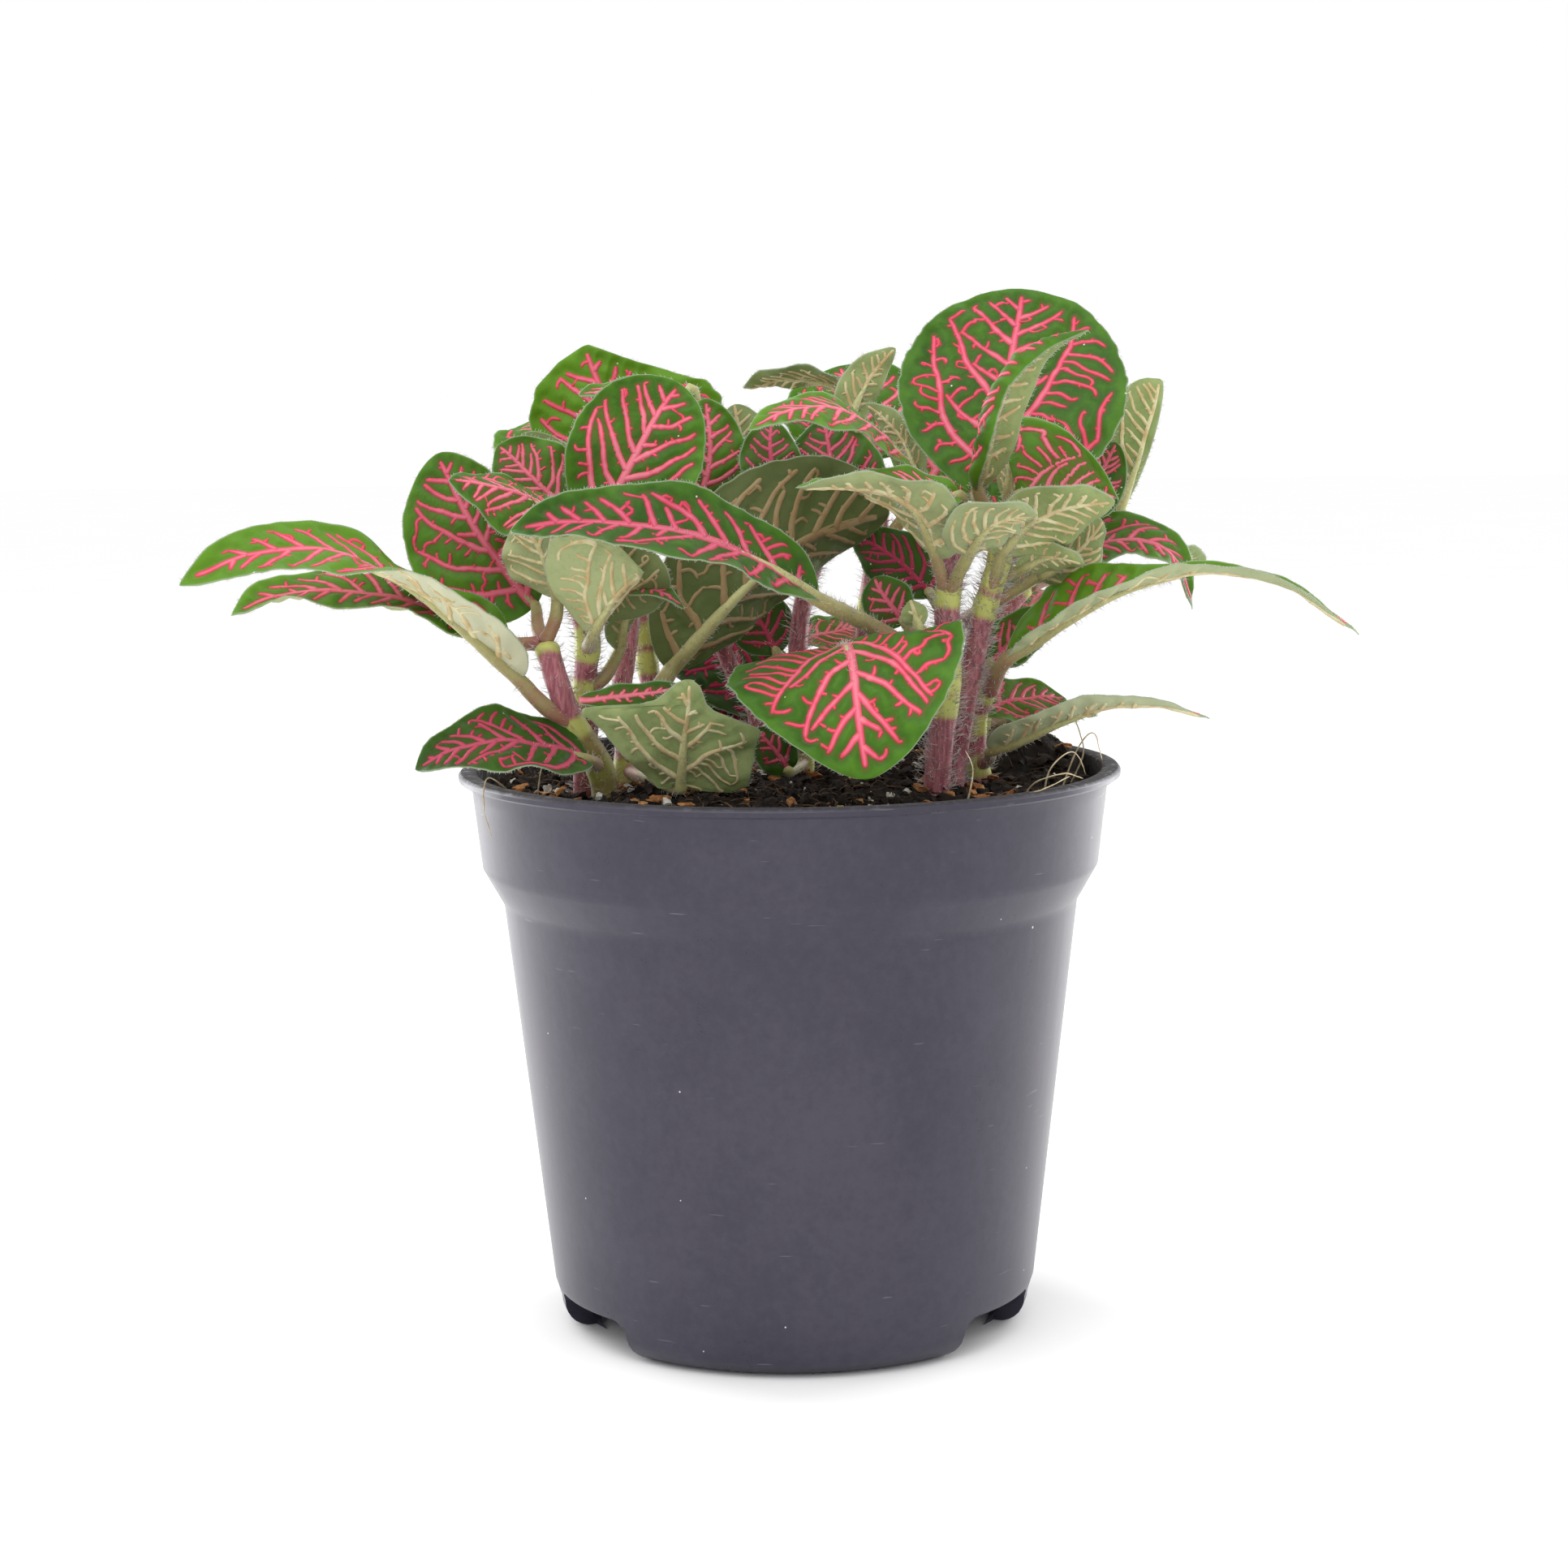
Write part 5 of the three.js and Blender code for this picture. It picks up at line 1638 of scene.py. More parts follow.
            (22, -6, 74), (22.5, -6, 79.5), (24, -8, 88.5), (26, -10, 98), (28, -11, 105),
            (28.5, -10, 110.5),
        ),
        leaves=(
            Leaf(((25.5, -6, 113.5), (30, 4, 127), (33, 18, 141)), (14.7, 16.3), (0, -0.75, 0.66),
                 Outline.ROUND, fold=(3, 3), wave=0.4, shade=0.1, stalk=((28.5, -11, 107), (26.5, -8, 111)),
                 stalk_radius=1.3),
            Leaf(((25, -12, 114.5), (27, -15, 123.5), (30.5, -17, 131), (39, -20, 135)), (4, 7),
                 (-0.2, 0.9, 0.3), Outline.TAPERED, curl=(0, -150), wave=0.3, stalk=((28.5, -11, 107),)),
            Leaf(((29.5, -7.5, 112), (30, -7.5, 118.5), (30.5, -6.5, 126)), (2.5, 2.5), (0.1, 0.9, 0.2),
                 fold=(30, 30), wave=0.2, stalk=((28.5, -10, 109),)),
            Leaf(((30.5, -11.5, 113.5), (37, -12.5, 114.5), (43.5, -14, 113)), (11, 2.5), (-0.1, -0.9, 0.4),
                 Outline.HALF_MOON, wave=0.3, stalk=((28.5, -10, 110),)),
            Leaf(((39, 0, 110), (42, 1.5, 114.5), (45, 5, 120)), (5, 4), (-0.1, -0.95, 0.2), wave=0.3,
                 shade=0.35, stalk=((28, -10.5, 105), (34, -3.5, 106))),
            Leaf(((28, -13.5, 105.5), (33, -16.5, 111), (42.5, -19, 113)), (6.5, 5), (0, 0.75, 0.6),
                 wave=0.5, stalk=((26.5, -10, 99),)),
            Leaf(((33, -7.5, 102.5), (38.5, -8, 106), (42, -6, 110)), (4.5, 3.8), (0, 0.8, 0.5), wave=0.4,
                 shade=0.35, stalk=((26.5, -10, 99),)),
            Leaf(((30.5, -10.5, 103.5), (34.5, -12.5, 105.5), (39, -14.5, 104.5)), (2.5, 2.5),
                 (0, 0.8, 0.5), wave=0.3, stalk=((27.5, -10, 102.5),)),
        ),
    ),
    Shoot(
        "shoot_right_low", radius=1.5, stem_hairs=9,
        stem=((26, -2, 74), (25.5, -2, 77), (25.5, -2.5, 83.5), (27, -4.5, 87.5)),
        leaves=(
            Leaf(((28.5, -11, 91.5), (42.5, -15, 100.9), (58.4, -17, 103.7), (74.6, -17, 95.1)), (9, 4.5),
                 (-0.05, 0, 1), Outline.LONG_TIP, fold=(30, 12), wave=0.2, shade=-0.35,
                 stalk=((27, -4.5, 87),), stalk_radius=1.2,
                 lobes=(
                     (
                         (0, 0.1), (0.08, 0.55), (0.17, 0.95), (0.25, 1), (0.33, 0.76), (0.41, 0.38),
                         (0.52, 0.2), (0.8, 0.13), (0.93, 0.07), (1, 0.02),
                     ),
                     (
                         (0, 0.15), (0.1, 0.75), (0.25, 1), (0.45, 0.85), (0.7, 0.5), (0.9, 0.2),
                         (1, 0.02),
                     ),
                 )),
            Leaf(((27, -8, 79.3), (35.5, -11, 83.4), (45, -13, 86), (55.5, -15, 84)), (3.8, 4.5),
                 (-0.05, 0.15, 0.95), Outline.LONG_TIP, fold=(10, 24), wave=0.3, shade=-0.5,
                 stalk=((25.7, -2, 76.5), (27, -5, 78))),
            Leaf(((26, 0, 83.5), (32, 4, 85), (38.5, 8, 84.5)), (5, 5), (0, -0.6, 0.8), wave=0.4, shade=0.4,
                 stalk=((25.5, -2.5, 82.5),)),
            Leaf(((27, -3.5, 90.5), (31, -3, 94), (36, -1.5, 97.5)), (4, 3.5), (-0.2, -0.85, 0.5), wave=0.4,
                 shade=0.4, stalk=((27, -4.5, 87.5),)),
        ),
    ),
    Shoot(
        "shoot_right_back", radius=1.5, stem=((20, 12, 74), (21, 12, 80), (22, 12, 89), (24, 10, 95.5)),
        leaves=(
            Leaf(((29.5, 4, 99), (41.5, 2, 106), (50.5, 0, 106), (54.5, -3, 97.5)), (6.8, 5),
                 (0, -0.5, 0.85), Outline.LANCE, wave=0.4, shade=0.3, stalk=((24, 10, 95),)),
            Leaf(((46, 14, 109), (49.5, 16, 118), (52.7, 20, 128.3)), (1.2, 6), (0.2, 0.9, 0.2),
                 Outline.FAN, wave=0.3, stalk=((24, 10, 95), (36, 13, 102.5))),
            Leaf(((20, 6, 99), (15, 8, 104), (9, 10, 107.5)), (5, 5), (0, -0.7, 0.6), wave=0.4, shade=0.9,
                 stalk=((23.5, 10, 93.5),)),
        ),
    ),
    Shoot(
        "shoot_back_left", radius=1.5, stem=((-18, 16, 74), (-20, 18, 90), (-22, 21, 104), (-23, 24, 112)),
        leaves=(
            Leaf(((-26, 26.5, 114.5), (-32, 33, 121), (-37, 44, 123)), (11, 11), (-0.1, -0.55, 0.83),
                 fold=(5, 5), stalk=((-23, 24, 111.5),)),
            Leaf(((-25, 22, 99), (-34, 27, 103), (-46, 33, 99)), (8.5, 8.5), (-0.1, 0.1, 0.98), fold=(6, 6),
                 stalk=((-20.5, 18.5, 93),)),
            Leaf(((-19, 24, 94), (-18, 34, 99), (-16, 45.5, 96)), (9, 9), (0, 0.05, 1), fold=(6, 6),
                 stalk=((-20, 18, 89),)),
            Leaf(((-20.5, 24, 114), (-18, 26, 119.5), (-17, 30, 126)), (7, 7), (0.1, -0.95, 0.3),
                 fold=(5, 5), stalk=((-23, 24, 111.5),)),
            Leaf(((-22, 19, 79.5), (-31, 24, 81), (-40, 29, 78.5)), (6, 6), (-0.1, 0.1, 0.98), fold=(4, 4),
                 stalk=((-18, 16, 78),)),
        ),
    ),
    Shoot(
        "shoot_back", radius=1.5, stem=((10, 22, 74), (11, 24, 92), (13, 26, 106), (14, 27, 114)),
        leaves=(
            Leaf(((13, 29.5, 117), (11, 35, 124), (8, 44, 130.5)), (12, 12), (0, -0.6, 0.8), fold=(4, 4),
                 stalk=((14, 27, 113.5),)),
            Leaf(((15, 28.5, 101), (22.5, 35.5, 105), (33, 44, 102.5)), (8.5, 8.5), (0.1, 0.1, 0.98),
                 fold=(6, 6), stalk=((11.5, 24.5, 96),)),
            Leaf(((8, 27.5, 86), (4, 36.5, 87.5), (-1, 46, 84)), (9, 9), (0, 0.1, 1), fold=(6, 6),
                 stalk=((10.5, 23, 83),)),
            Leaf(((19, 26, 112), (24, 29, 119), (30, 36, 125)), (9, 9), (0.2, -0.7, 0.6), fold=(4, 4),
                 stalk=((13, 25.5, 104),)),
            Leaf(((13, 27, 81), (20, 34.5, 83), (28, 43, 79.5)), (8, 8), (0, 0.1, 1), fold=(4, 4),
                 stalk=((10, 22, 78),)),
            # These two near-black leaves low at the back are painted fully dark to stand for the deep shadow
            # there.
            Leaf(((4, 20, 80), (-7, 18.5, 88.5), (-19, 17, 92)), (8, 7), (0, -0.75, 0.65), Outline.ROUND,
                 shade=1, stalk=((10.4, 22.5, 79),)),
            Leaf(((5, 18, 77.5), (-4, 16.5, 81), (-13, 15, 81.5)), (5.5, 6), (0, -0.9, 0.4), shade=1,
                 stalk=((10, 22, 76.5),)),
        ),
    ),
    Shoot(
        "shoot_back_right", radius=1.5,
        stem=((26.5, 14, 74), (27.5, 15.5, 87), (29.5, 17, 94), (34, 18, 100)),
        leaves=(
            Leaf(((39, 21, 101), (48, 27, 105), (61, 35, 101)), (8, 8), (0.1, 0.1, 0.98), fold=(6, 6),
                 stalk=((34, 18, 99.5),)),
            Leaf(((34, 21, 95), (37.5, 29, 98), (42, 38, 95)), (6, 6), (0.1, 0.2, 0.98), fold=(6, 6),
                 stalk=((27.6, 15.6, 88),)),
            Leaf(((33, 17.5, 81.5), (38.5, 21.5, 82), (44, 25.5, 80)), (4.5, 4.5), (0.1, 0.1, 0.98),
                 fold=(4, 4), shade=0.4, stalk=((26.9, 14.6, 80),)),
            Leaf(((34, 20, 104), (36, 24, 112), (38, 31, 120)), (8.5, 8.5), (0.1, -0.8, 0.5), fold=(4, 4),
                 stalk=((34, 18, 99.5),)),
        ),
    ),
)

# ---------------------------------------------------------------- pot


@dataclass(frozen=True)
class Pot:
    """The moulded nursery pot: a tapered wall under a collar with a rolled lip, in millimetres."""

    rim_radius: float = 45.0
    rim_top: float = 76.7
    collar_radius: float = 43.3
    collar_foot: Pair = (42.0, 63.7)
    body_top: Pair = (39.2, 58.7)
    body_foot: Pair = (33.2, 6.5)
    foot_radius: float = 32.4
    foot_bend: float = 4.0
    wall: float = 0.9
    steps: int = 180
    notch_angles: tuple[float, ...] = (60, 180, 300)
    notch_width: float = 18.0
    notch_depth: float = 12.0
    notch_top: float = 5.5
    notch_round: float = 2.0
    floor_under: float = 5.5
    floor_over: float = 6.5
    drain_radius: float = 3.5
    drain_place: float = 21.0
    drain_cut: float = 4.0
    grime_rise: float = 0.11
    crease: float = 38.0
    weld: float = 0.001

    def outer(self) -> list[Pair]:
        """The outer line of the pot.

        Returns:
            Its points from the foot to the lip, as radius and height.
        """
        turns = np.linspace(0, math.pi / 2, 8)
        across = self.foot_radius - self.foot_bend * (1 - np.sin(turns))
        bend = list(zip(across, self.foot_bend * (1 - np.cos(turns))))
        (r0, z0), (r1, z1), (r2, z2) = self.body_foot, self.body_top, self.collar_foot
        heights = (*np.linspace(0, 1, 12)[:-1], 0.985)
        wall = [(r0 + (r1 - r0) * t, z0 + (z1 - z0) * t) for t in heights]
        knee = (r1 + 1.45, 61.2)
        shoulder = [
            tuple(
                (1 - t) ** 2 * low + 2 * t * (1 - t) * middle + t * t * high
                for low, middle, high in zip(self.body_top, knee, self.collar_foot)
            )
            for t in np.linspace(0, 1, 9)
        ]
        return [*bend, *wall, *shoulder, (r2 + 0.09, z2 + 0.7), (self.collar_radius - 0.18, 73.5)]

    def profile(self) -> list[Pair]:
        """The line that the pot is spun from.

        Returns:
            Its points from the axis under the floor, round the lip, to the axis over the floor.
        """
        outer = self.outer()
        edge, lip = self.rim_radius, self.rim_top
        rim = [
            (self.collar_radius - 0.1, 74.2),
            (self.collar_radius + 0.25, 75.25),
            (self.collar_radius + 0.75, 75.45),
            (edge - 0.3, 75.45),
            (edge, 75.7),
            (edge, lip - 0.45),
            (edge - 0.35, lip - 0.05),
            (edge - 0.9, lip),
            (edge - 2.0, lip),
            (self.collar_radius - 0.75, lip - 0.15),
            (self.collar_radius - 0.95, lip - 0.6),
        ]
        inside = [(radius - self.wall, height + self.wall / 2) for radius, height in reversed(outer[8:])]
        under, over = self.floor_under, self.floor_over
        foot = [(0.0, under), (30.4, under), (30.0, 3.0), (28.5, 1.5), (27.0, 0.0)]
        floor = [(self.body_foot[0] - self.wall, 6.9), (31.9, over), (0.0, over)]
        return [*foot, *outer, *rim, *inside[:-1], *floor]

    def spun(self) -> bmesh.types.BMesh:
        """The pot before its notches are cut.

        Returns:
            A closed mesh.
        """
        bm = bmesh.new()
        line = [bm.verts.new((0, -radius * MM, height * MM)) for radius, height in self.profile()]
        edges = [bm.edges.new(pair) for pair in zip(line, line[1:])]
        bmesh.ops.spin(
            bm,
            geom=[*line, *edges],
            cent=(0, 0, 0),
            axis=(0, 0, 1),
            angle=TAU,
            steps=self.steps,
            use_merge=True,
        )
        bmesh.ops.remove_doubles(bm, verts=bm.verts, dist=MERGE)
        bmesh.ops.recalc_face_normals(bm, faces=bm.faces)
        return bm

    def cutters(self) -> bmesh.types.BMesh:
        """The notches in the foot and the drain holes behind them.

        Returns:
            A mesh with a closed block for each.
        """
        parts = []
        for angle in self.notch_angles:
            turn = Matrix.Rotation(math.radians(angle), 4, "Z")
            notch = bmesh.new()
            size = (self.notch_width * MM, self.notch_depth * MM, (self.notch_top + 1) * MM)
            place = turn @ Matrix.Translation((0, -self.foot_radius * MM, (self.notch_top - 1) / 2 * MM))
            bmesh.ops.create_cube(notch, size=1, matrix=place @ Matrix.Diagonal((*size, 1)))
            radial = turn @ Vector((0, 1, 0))
            corners = [
                edge
                for edge in notch.edges
                if abs((edge.verts[1].co - edge.verts[0].co).normalized() @ radial) > 0.9
                and edge.verts[0].co.z > 0
            ]
            bevel_edges(notch, corners, self.notch_round * MM, 6)
            parts.append(notch)
            drain = bmesh.new()
            middle = (self.floor_under + self.floor_over) / 2
            radius = self.drain_radius * MM
            bmesh.ops.create_cone(
                drain,
                cap_ends=True,
                segments=40,
                radius1=radius,
                radius2=radius,
                depth=self.drain_cut * MM,
                matrix=turn @ Matrix.Translation((0, -self.drain_place * MM, middle * MM)),
            )
            parts.append(drain)
        return gather(parts)

    def grime(self, radius: float, height: float) -> float:
        """How soiled the pot is at a place on it.

        Args:
            radius: how far the place is from the axis.
            height: its height.

        Returns:
            1 on the inside of the collar, up to 0.75 on the lip and 0 elsewhere.
        """
        inner = self.collar_foot[0] - self.wall / 2 + self.grime_rise * (height - self.collar_foot[1])
        if height > 64 and radius < inner:
            return 1.0
        return 0.75 * float(np.clip((height - (self.rim_top - 0.5)) / 0.4, 0, 1))

    def build(self, finish: bpy.types.Material) -> None:
        """Builds the pot.

        Args:
            finish: the moulded plastic.
        """
        blank = as_object("pot_blank", self.spun())
        cutter = as_object("pot_cutter", self.cutters())
        cut = blank.modifiers.new("notches", "BOOLEAN")
        cut.operation, cut.solver, cut.object = "DIFFERENCE", "EXACT", cutter
        bpy.context.view_layer.update()
        shaped = blank.evaluated_get(bpy.context.evaluated_depsgraph_get()).to_mesh()
        bm = bmesh.new()
        bm.from_mesh(shaped)
        for item in (blank, cutter):
            bpy.data.objects.remove(item)
        bmesh.ops.remove_doubles(bm, verts=bm.verts, dist=self.weld * MM)
        layer = bm.verts.layers.float.new("grime")
        for vert in bm.verts:
            vert[layer] = self.grime(math.hypot(vert.co.x, vert.co.y) / MM, vert.co.z / MM)
        make_piece("pot_shell", bm, finish, "pot", self.crease)


# ---------------------------------------------------------------- peat


@dataclass(frozen=True)
class Peat:
    """The potting mix: a rough bed with crumbs, bark, perlite, feed pellets, fibres and roots.

    Its sizes are millimetres. The heap is a place and its height there.
    """

    radius: float = 41.6
    top: float = 73.6
    crown: float = 1.0
    heap: Point = (35.0, 16.0, 8.2)
    heap_reach: Pair = (10.5, 8.5)
    heap_fall: float = 0.45
    relief: float = 0.55
    depth: float = 9.0
    rough: float = 0.75
    grain: float = 0.28
    columns: int = 300
    rows: int = 120
    root_radius: float = 0.125
    root_rough: float = 0.07

    def level(self, x: Array, y: Array) -> Array:
        """The height of the bed, which follows the solid's clods and is heaped on one side.

        Args:
            x: places across.
            y: places in depth.

        Returns:
            The height at each place.
        """
        reach = np.minimum(np.hypot(x, y) / self.radius, 1)
        clods = np.sin(0.9 * x + 1.3 * np.sin(0.5 * y)) * np.cos(0.8 * y - 0.6 * np.cos(0.7 * x))
        small = np.sin(2.3 * x - 1.1 * y) * np.sin(1.9 * y + 0.8)
        (x0, y0, height), (wide, deep) = self.heap, self.heap_reach
        heap = height * np.exp(-(((x - x0) / wide) ** 2) - ((y - y0) / deep) ** 2)
        heap = heap * (1 - self.heap_fall * reach**6)
        uneven = self.relief * (0.7 * clods + 0.3 * small) * (1 - reach**8)
        return self.top + heap + self.crown * (1 - reach**2) + uneven

    def bed(self) -> bmesh.types.BMesh:
        """The bed: a rough top over a plain side and underside.

        Returns:
            A closed mesh.
        """
        angle = np.linspace(0, TAU, self.columns, endpoint=False)
        reach = np.concatenate([[0], np.linspace(0.004, 1, self.rows)])
        x = self.radius * reach[:, None] * np.cos(angle)
        y = self.radius * reach[:, None] * np.sin(angle)
        spots = np.stack([x, y, 0 * x], axis=-1).reshape(-1, 3)
        bumps = noise_at(spots, 2.6, 4).reshape(x.shape)
        fine = noise_at(spots + 50, 0.9, 3).reshape(x.shape)
        calm = np.minimum(1, 12 * (1.02 - reach))[:, None]
        z = self.level(x, y) + (self.rough * bumps + self.grain * fine) * calm
        z[0] = z[0].mean()
        topside = np.stack([x, y, z], axis=-1)
        below = ((0.995, 3), (0.97, self.depth), (0.5, self.depth), (0, self.depth))
        flat = 0 * x[-1] + self.top
        side = [np.stack([x[-1] * share, y[-1] * share, flat - drop], axis=-1) for share, drop in below]
        return skin([np.concatenate([topside, np.array(side)])])

    def spots(self, count: int, rng: np.random.Generator, reach: float = 0.965) -> Array:
        """Random places on the bed.

        Args:
            count: how many.
            rng: where they come from.
            reach: how far out they may lie, as a part of the bed's radius.

        Returns:
            A point on the bed for each.
        """
        radius = self.radius * reach * np.sqrt(rng.uniform(0, 1, count))
        angle = rng.uniform(0, TAU, count)
        x, y = radius * np.cos(angle), radius * np.sin(angle)
        return np.column_stack([x, y, self.level(x, y)])

    def lumps(
        self, count: int, size: Pair, flat: Point, jag: float, sink: float, rng: np.random.Generator
    ) -> bmesh.types.BMesh:
        """Rough lumps scattered on the bed.

        Args:
            count: how many.
            size: their least and greatest size; the larger ones have more faces.
            flat: how far each axis is stretched.
            jag: how uneven each is.
            sink: how deep each lies, as a part of its size.
            rng: where the places and shapes come from.

        Returns:
            A mesh with all of them.
        """
        parts = []
        for place in self.spots(count, rng):
            lump = bmesh.new()
            large = rng.uniform() ** 2.2
            girth = size[0] + (size[1] - size[0]) * large
            bmesh.ops.create_icosphere(lump, subdivisions=2 if large > 0.6 else 1, radius=0.5)
            turn = Euler(rng.uniform(-0.5, 0.5, 3) + (0, 0, rng.uniform(0, TAU))).to_matrix().to_4x4()
            offset = Vector(rng.uniform(-50, 50, 3))
            for vert in lump.verts:
                vert.co *= 1 + jag * noise.noise(vert.co * 2.4 + offset)
            stretch = Matrix.Diagonal((*(girth * MM * np.array(flat) * rng.uniform(0.8, 1.2, 3)), 1))
            height = place[2] + girth * flat[2] * (0.5 - sink)
            where = Matrix.Translation((place[0] * MM, place[1] * MM, height * MM))
            bmesh.ops.transform(lump, matrix=where @ turn @ stretch, verts=lump.verts)
            parts.append(lump)
        return gather(parts)

    def chips(self, count: int, rng: np.random.Generator) -> bmesh.types.BMesh:
        """Flat chips of bark with broken edges.

        Args:
            count: how many.
            rng: where the places and shapes come from.

        Returns:
            A mesh with all of them.
        """
        parts = []
        for place in self.spots(count, rng):
            chip = bmesh.new()
            bmesh.ops.create_cube(chip, size=1)
            bevel_edges(chip, chip.edges, 0.12, 1)
            bmesh.ops.subdivide_edges(chip, edges=chip.edges, cuts=1, use_grid_fill=True)
            offset = Vector(rng.uniform(-50, 50, 3))
            for vert in chip.verts:
                vert.co += 0.36 * noise.noise_vector(vert.co * 1.9 + offset)
            size = (rng.uniform(0.9, 2.9), rng.uniform(0.7, 1.7), rng.uniform(0.4, 0.9))
            turn = Euler((rng.normal() * 0.3, rng.normal() * 0.25, rng.uniform(0, TAU))).to_matrix().to_4x4()
            where = Matrix.Translation((place[0] * MM, place[1] * MM, (place[2] + 0.45) * MM))
            stretch = Matrix.Diagonal((*(np.array(size) * MM), 1))
            bmesh.ops.transform(chip, matrix=where @ turn @ stretch, verts=chip.verts)
            parts.append(chip)
        return gather(parts)

    def strands(self, count: int, length: Pair, girth: Pair, rng: np.random.Generator) -> bmesh.types.BMesh:
        """Fibres that lie on the bed.

        Args:
            count: how many.
            length: their least and greatest length.
            girth: their least and greatest radius.
            rng: where the places and bends come from.

        Returns:
            A mesh with all of them.
        """
        strips = []
        for place in self.spots(count, rng, 0.94):
            reach, thick = rng.uniform(*length), rng.uniform(*girth)
            heading, curve = rng.uniform(0, TAU), rng.normal() * 0.5
            steps = np.linspace(0, 1, 7)
            turn = heading + curve * steps * 2
            run = np.column_stack([np.cos(turn), np.sin(turn)]) * reach / 7
            xy = place[:2] + np.cumsum(run, axis=0)
            inside = np.minimum(1, 0.975 * self.radius / np.maximum(np.linalg.norm(xy, axis=1), 1))
            xy *= inside[:, None]
            lift = 0.35 + 0.9 * rng.uniform() * np.sin(math.pi * steps) + rng.normal(size=7) * 0.12
            path = np.column_stack([xy, self.level(*xy.T) + lift])
            line = smooth_path(path, reach / 6)
            strips.append(tube(line, thick * np.linspace(1, 0.5, len(line)), 4))
        return skin(strips)

    def roots(self, rng: np.random.Generator) -> bmesh.types.BMesh:
        """Pale roots that arch over the bed and the rim.

        Args:
            rng: where their unevenness comes from.

        Returns:
            A mesh with all of them.
        """
        lines = (
            ((33, -19, 74), (34, -21, 78.5), (37, -20, 80.5), (39, -17, 77)),
            ((30, -22, 74), (31.5, -25, 77), (35, -27, 78.5), (38, -24, 77.5)),
            ((36, -12, 74), (38, -14, 80), (40, -16, 82.5), (41, -18, 79)),
            ((26, -30, 74), (28, -33, 76.2), (32, -30, 76.8), (36, -27, 78.2)),
            ((38, -4, 74), (39.5, -7, 79), (38, -11, 84), (37.5, -14, 87)),
            (
                (-36, -19, 75), (-38.5, -22, 78), (-39.5, -23.6, 77.6), (-39.6, -24.2, 74),
                (-38.6, -24.0, 70.5),
            ),
            ((-9, -37, 74.5), (-6, -39.5, 75.6), (-1, -40, 75.2)),
            ((12, -36, 74.5), (14, -38.5, 76), (19, -38.5, 75.6)),
            ((-30, -26, 74.5), (-27, -30, 76), (-22, -31.5, 75.4)),
            ((-33, -22, 74.5), (-32, -26, 79.5), (-31, -28, 81.5)),
            ((22, -33, 74), (23, -36, 80), (22, -37, 83)),
        )
        strips = []
        for line in lines:
            path = smooth_path(line, 0.5)
            rough = noise_at(path, 1.5) * self.root_rough
            thick = self.root_radius * np.linspace(1, 0.5, len(path)) + rough * 0.4
            strips.append(tube(path + rough[:, None], thick, 8))
        return skin(strips)

    def add(self, part: str, bm: bmesh.types.BMesh, finish: Crumb, crease: float = SMOOTH) -> None:
        """Makes one piece of the peat."""
        make_piece(f"soil_{part}", bm, finish.material(), "soil", crease)

    def build(self, rng: np.random.Generator) -> None:
        """Builds the bed and what lies on it.

        Args:
            rng: where the places come from.
        """
        peat = Crumb("peat", BLACK_PEAT, (0.026, 0.018, 0.014, 1), 0.7, 0.95, 0.35)
        self.add("bed", self.bed(), peat)
        crumb = Crumb("peat_crumb", BLACK_PEAT, (0.036, 0.023, 0.017, 1), 0.45)
        self.add("crumbs", self.lumps(1700, (0.45, 2.5), (1, 0.75, 0.6), 1.5, 0.2, rng), crumb, 35)
        bark = Crumb("bark", (0.230, 0.075, 0.022, 1), (0.600, 0.300, 0.110, 1), 0.5, 0.8, 0.2)
        self.add("bark", self.chips(90, rng), bark, 40)
        perlite = Crumb("perlite", (0.50, 0.48, 0.43, 1), (0.86, 0.85, 0.80, 1), 0.3, 0.85, 0.12)
        self.add("perlite", self.lumps(170, (0.35, 1.6), (1, 0.85, 0.8), 0.9, 0.2, rng), perlite, 35)
        pellet = Crumb("feed_pellet", (0.34, 0.30, 0.05, 1), (0.52, 0.47, 0.10, 1), 0.6, 0.4, 0.05)
        self.add("pellets", self.lumps(7, (1.3, 1.9), (1, 1, 1), 0.12, 0.15, rng), pellet)
        fibre = Crumb("peat_fibre", (0.020, 0.012, 0.008, 1), (0.170, 0.095, 0.050, 1), 2.0, 0.9, 0.1)
        self.add("fibres", self.strands(520, (2, 9), (0.05, 0.15), rng), fibre)
        root = Crumb("root", (0.42, 0.31, 0.17, 1), (0.74, 0.64, 0.44, 1), 0.6, 0.7, 0.08)
        self.add("roots", self.roots(rng), root)


# ---------------------------------------------------------------- studio


@dataclass(frozen=True)
class Softbox:
    """A rectangular lamp: its name, place and size in millimetres, and power in watts."""

    name: str
    place: Point
    size: Pair
    power: float


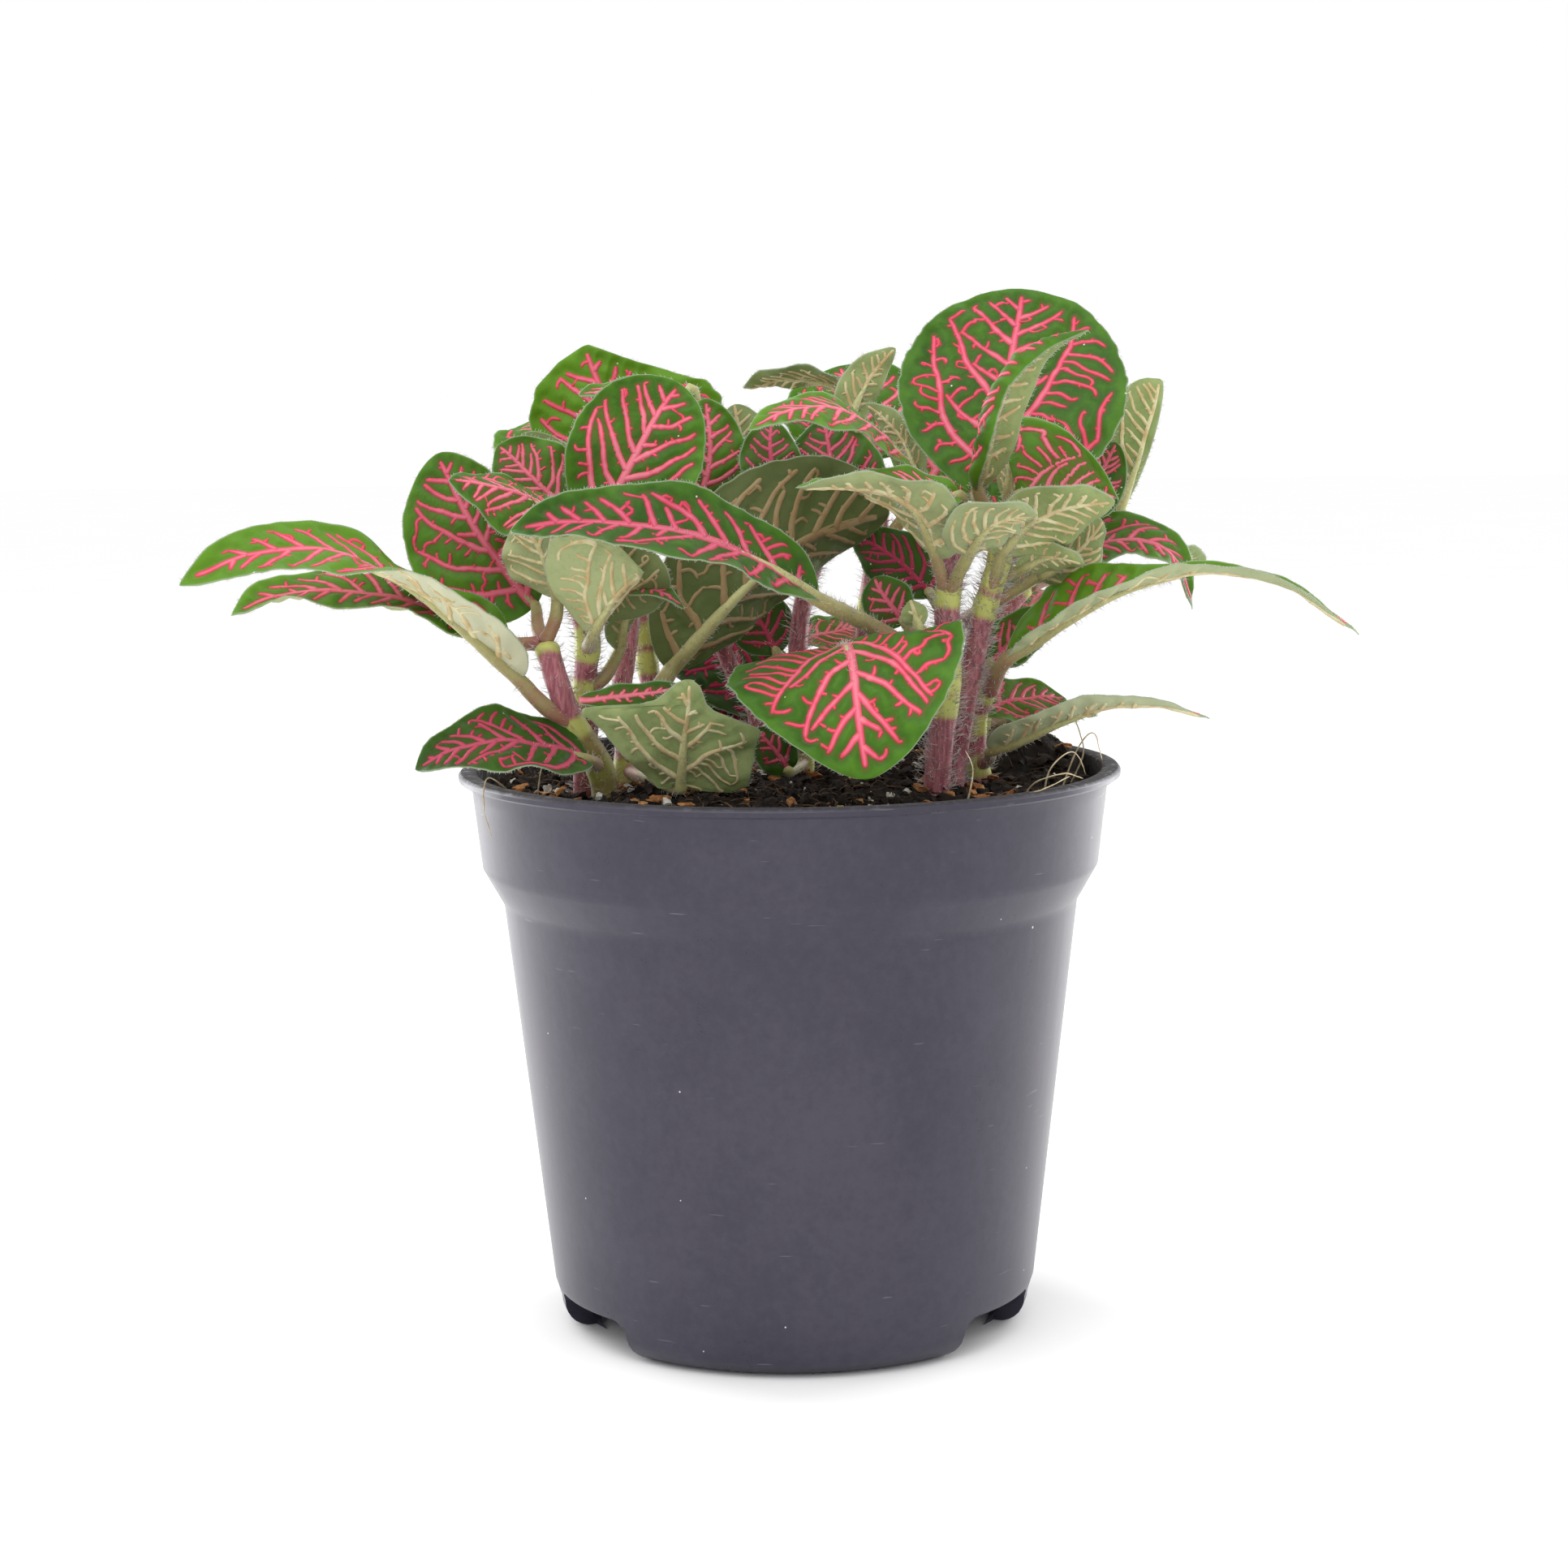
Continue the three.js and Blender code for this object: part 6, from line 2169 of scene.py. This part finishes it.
@dataclass(frozen=True)
class Studio:
    """A pale floor, soft lights and the camera at the photograph's angle.

    Sizes are millimetres and angles are degrees. The clip range is in metres.
    """

    eye: Point = (-0.77, -450.0, 132.4)
    pitch: float = 7.38
    roll: float = 0.593
    lens: float = 76.25
    sensor: float = 36.0
    clip: Pair = (0.01, 20.0)
    floor_size: float = 3000.0
    aim_height: float = 80.0
    sky: float = 1.0
    lights: tuple[Softbox, ...] = (
        Softbox("key_overhead", (-120, -200, 620), (520, 520), 1.6),
        Softbox("back_left", (-430, 380, 170), (320, 520), 2.8),
        Softbox("back_right", (430, 380, 170), (320, 520), 2.5),
    )

    def floor(self) -> None:
        """Lays the pale floor."""
        bm = bmesh.new()
        bmesh.ops.create_grid(bm, x_segments=1, y_segments=1, size=self.floor_size * MM)
        g = Graph("studio_paper")
        tone = g.mix(g.noise(60, 2), (0.98, 0.98, 0.98, 1), WHITE)
        paper = g.finish({"Base Color": tone, "Roughness": 0.9, "Specular IOR Level": 0.0})
        floor = as_object("studio_floor", bm)
        floor.data.materials.append(paper)

    def light(self, box: Softbox) -> None:
        """Adds a softbox that faces the plant.

        Args:
            box: the softbox.
        """
        data = bpy.data.lights.new(box.name, "AREA")
        data.shape, data.energy = "RECTANGLE", box.power
        data.size, data.size_y = box.size[0] * MM, box.size[1] * MM
        lamp = bpy.data.objects.new(box.name, data)
        lamp.location = Vector(box.place) * MM
        aim = Vector((0, 0, self.aim_height * MM)) - lamp.location
        lamp.rotation_euler = aim.to_track_quat("-Z", "Y").to_euler()
        bpy.context.scene.collection.objects.link(lamp)

    def camera(self) -> None:
        """Sets the camera where the photograph was taken from."""
        data = bpy.data.cameras.new("photo_camera")
        data.lens, data.sensor_width, data.sensor_fit = self.lens, self.sensor, "HORIZONTAL"
        data.clip_start, data.clip_end = self.clip
        camera = bpy.data.objects.new("photo_camera", data)
        camera.location = Vector(self.eye) * MM
        tilt = Matrix.Rotation(math.radians(90 - self.pitch), 4, "X")
        camera.rotation_euler = (tilt @ Matrix.Rotation(math.radians(-self.roll), 4, "Z")).to_euler()
        bpy.context.scene.collection.objects.link(camera)
        bpy.context.scene.camera = camera

    def build(self) -> None:
        """Sets up floor, world, lights and camera."""
        self.floor()
        world = bpy.data.worlds.new("studio_world")
        world.use_nodes = True
        background = world.node_tree.nodes["Background"]
        background.inputs[0].default_value = WHITE
        background.inputs[1].default_value = self.sky
        bpy.context.scene.world = world
        bpy.context.scene.view_settings.view_transform = "Standard"
        for box in self.lights:
            self.light(box)
        self.camera()


# ---------------------------------------------------------------- main


def main() -> None:
    """Builds the whole plant and its studio."""
    logging.basicConfig(level=logging.INFO, format="%(name)s: %(message)s")
    Pot().build(PotPlastic().material())
    Peat().build(np.random.default_rng(SEED))
    finishes = Finishes(
        blade=BladeSkin().material(),
        vein=VeinSkin().material(),
        stem=StemSkin().material(),
        stalk=StalkSkin().material(),
        hair=HairSkin().material(),
    )
    for index, shoot in enumerate(SHOOTS):
        shoot.build(finishes, np.random.default_rng(SEED + 1 + index))
    Studio().build()


if __name__ == "__main__":
    main()
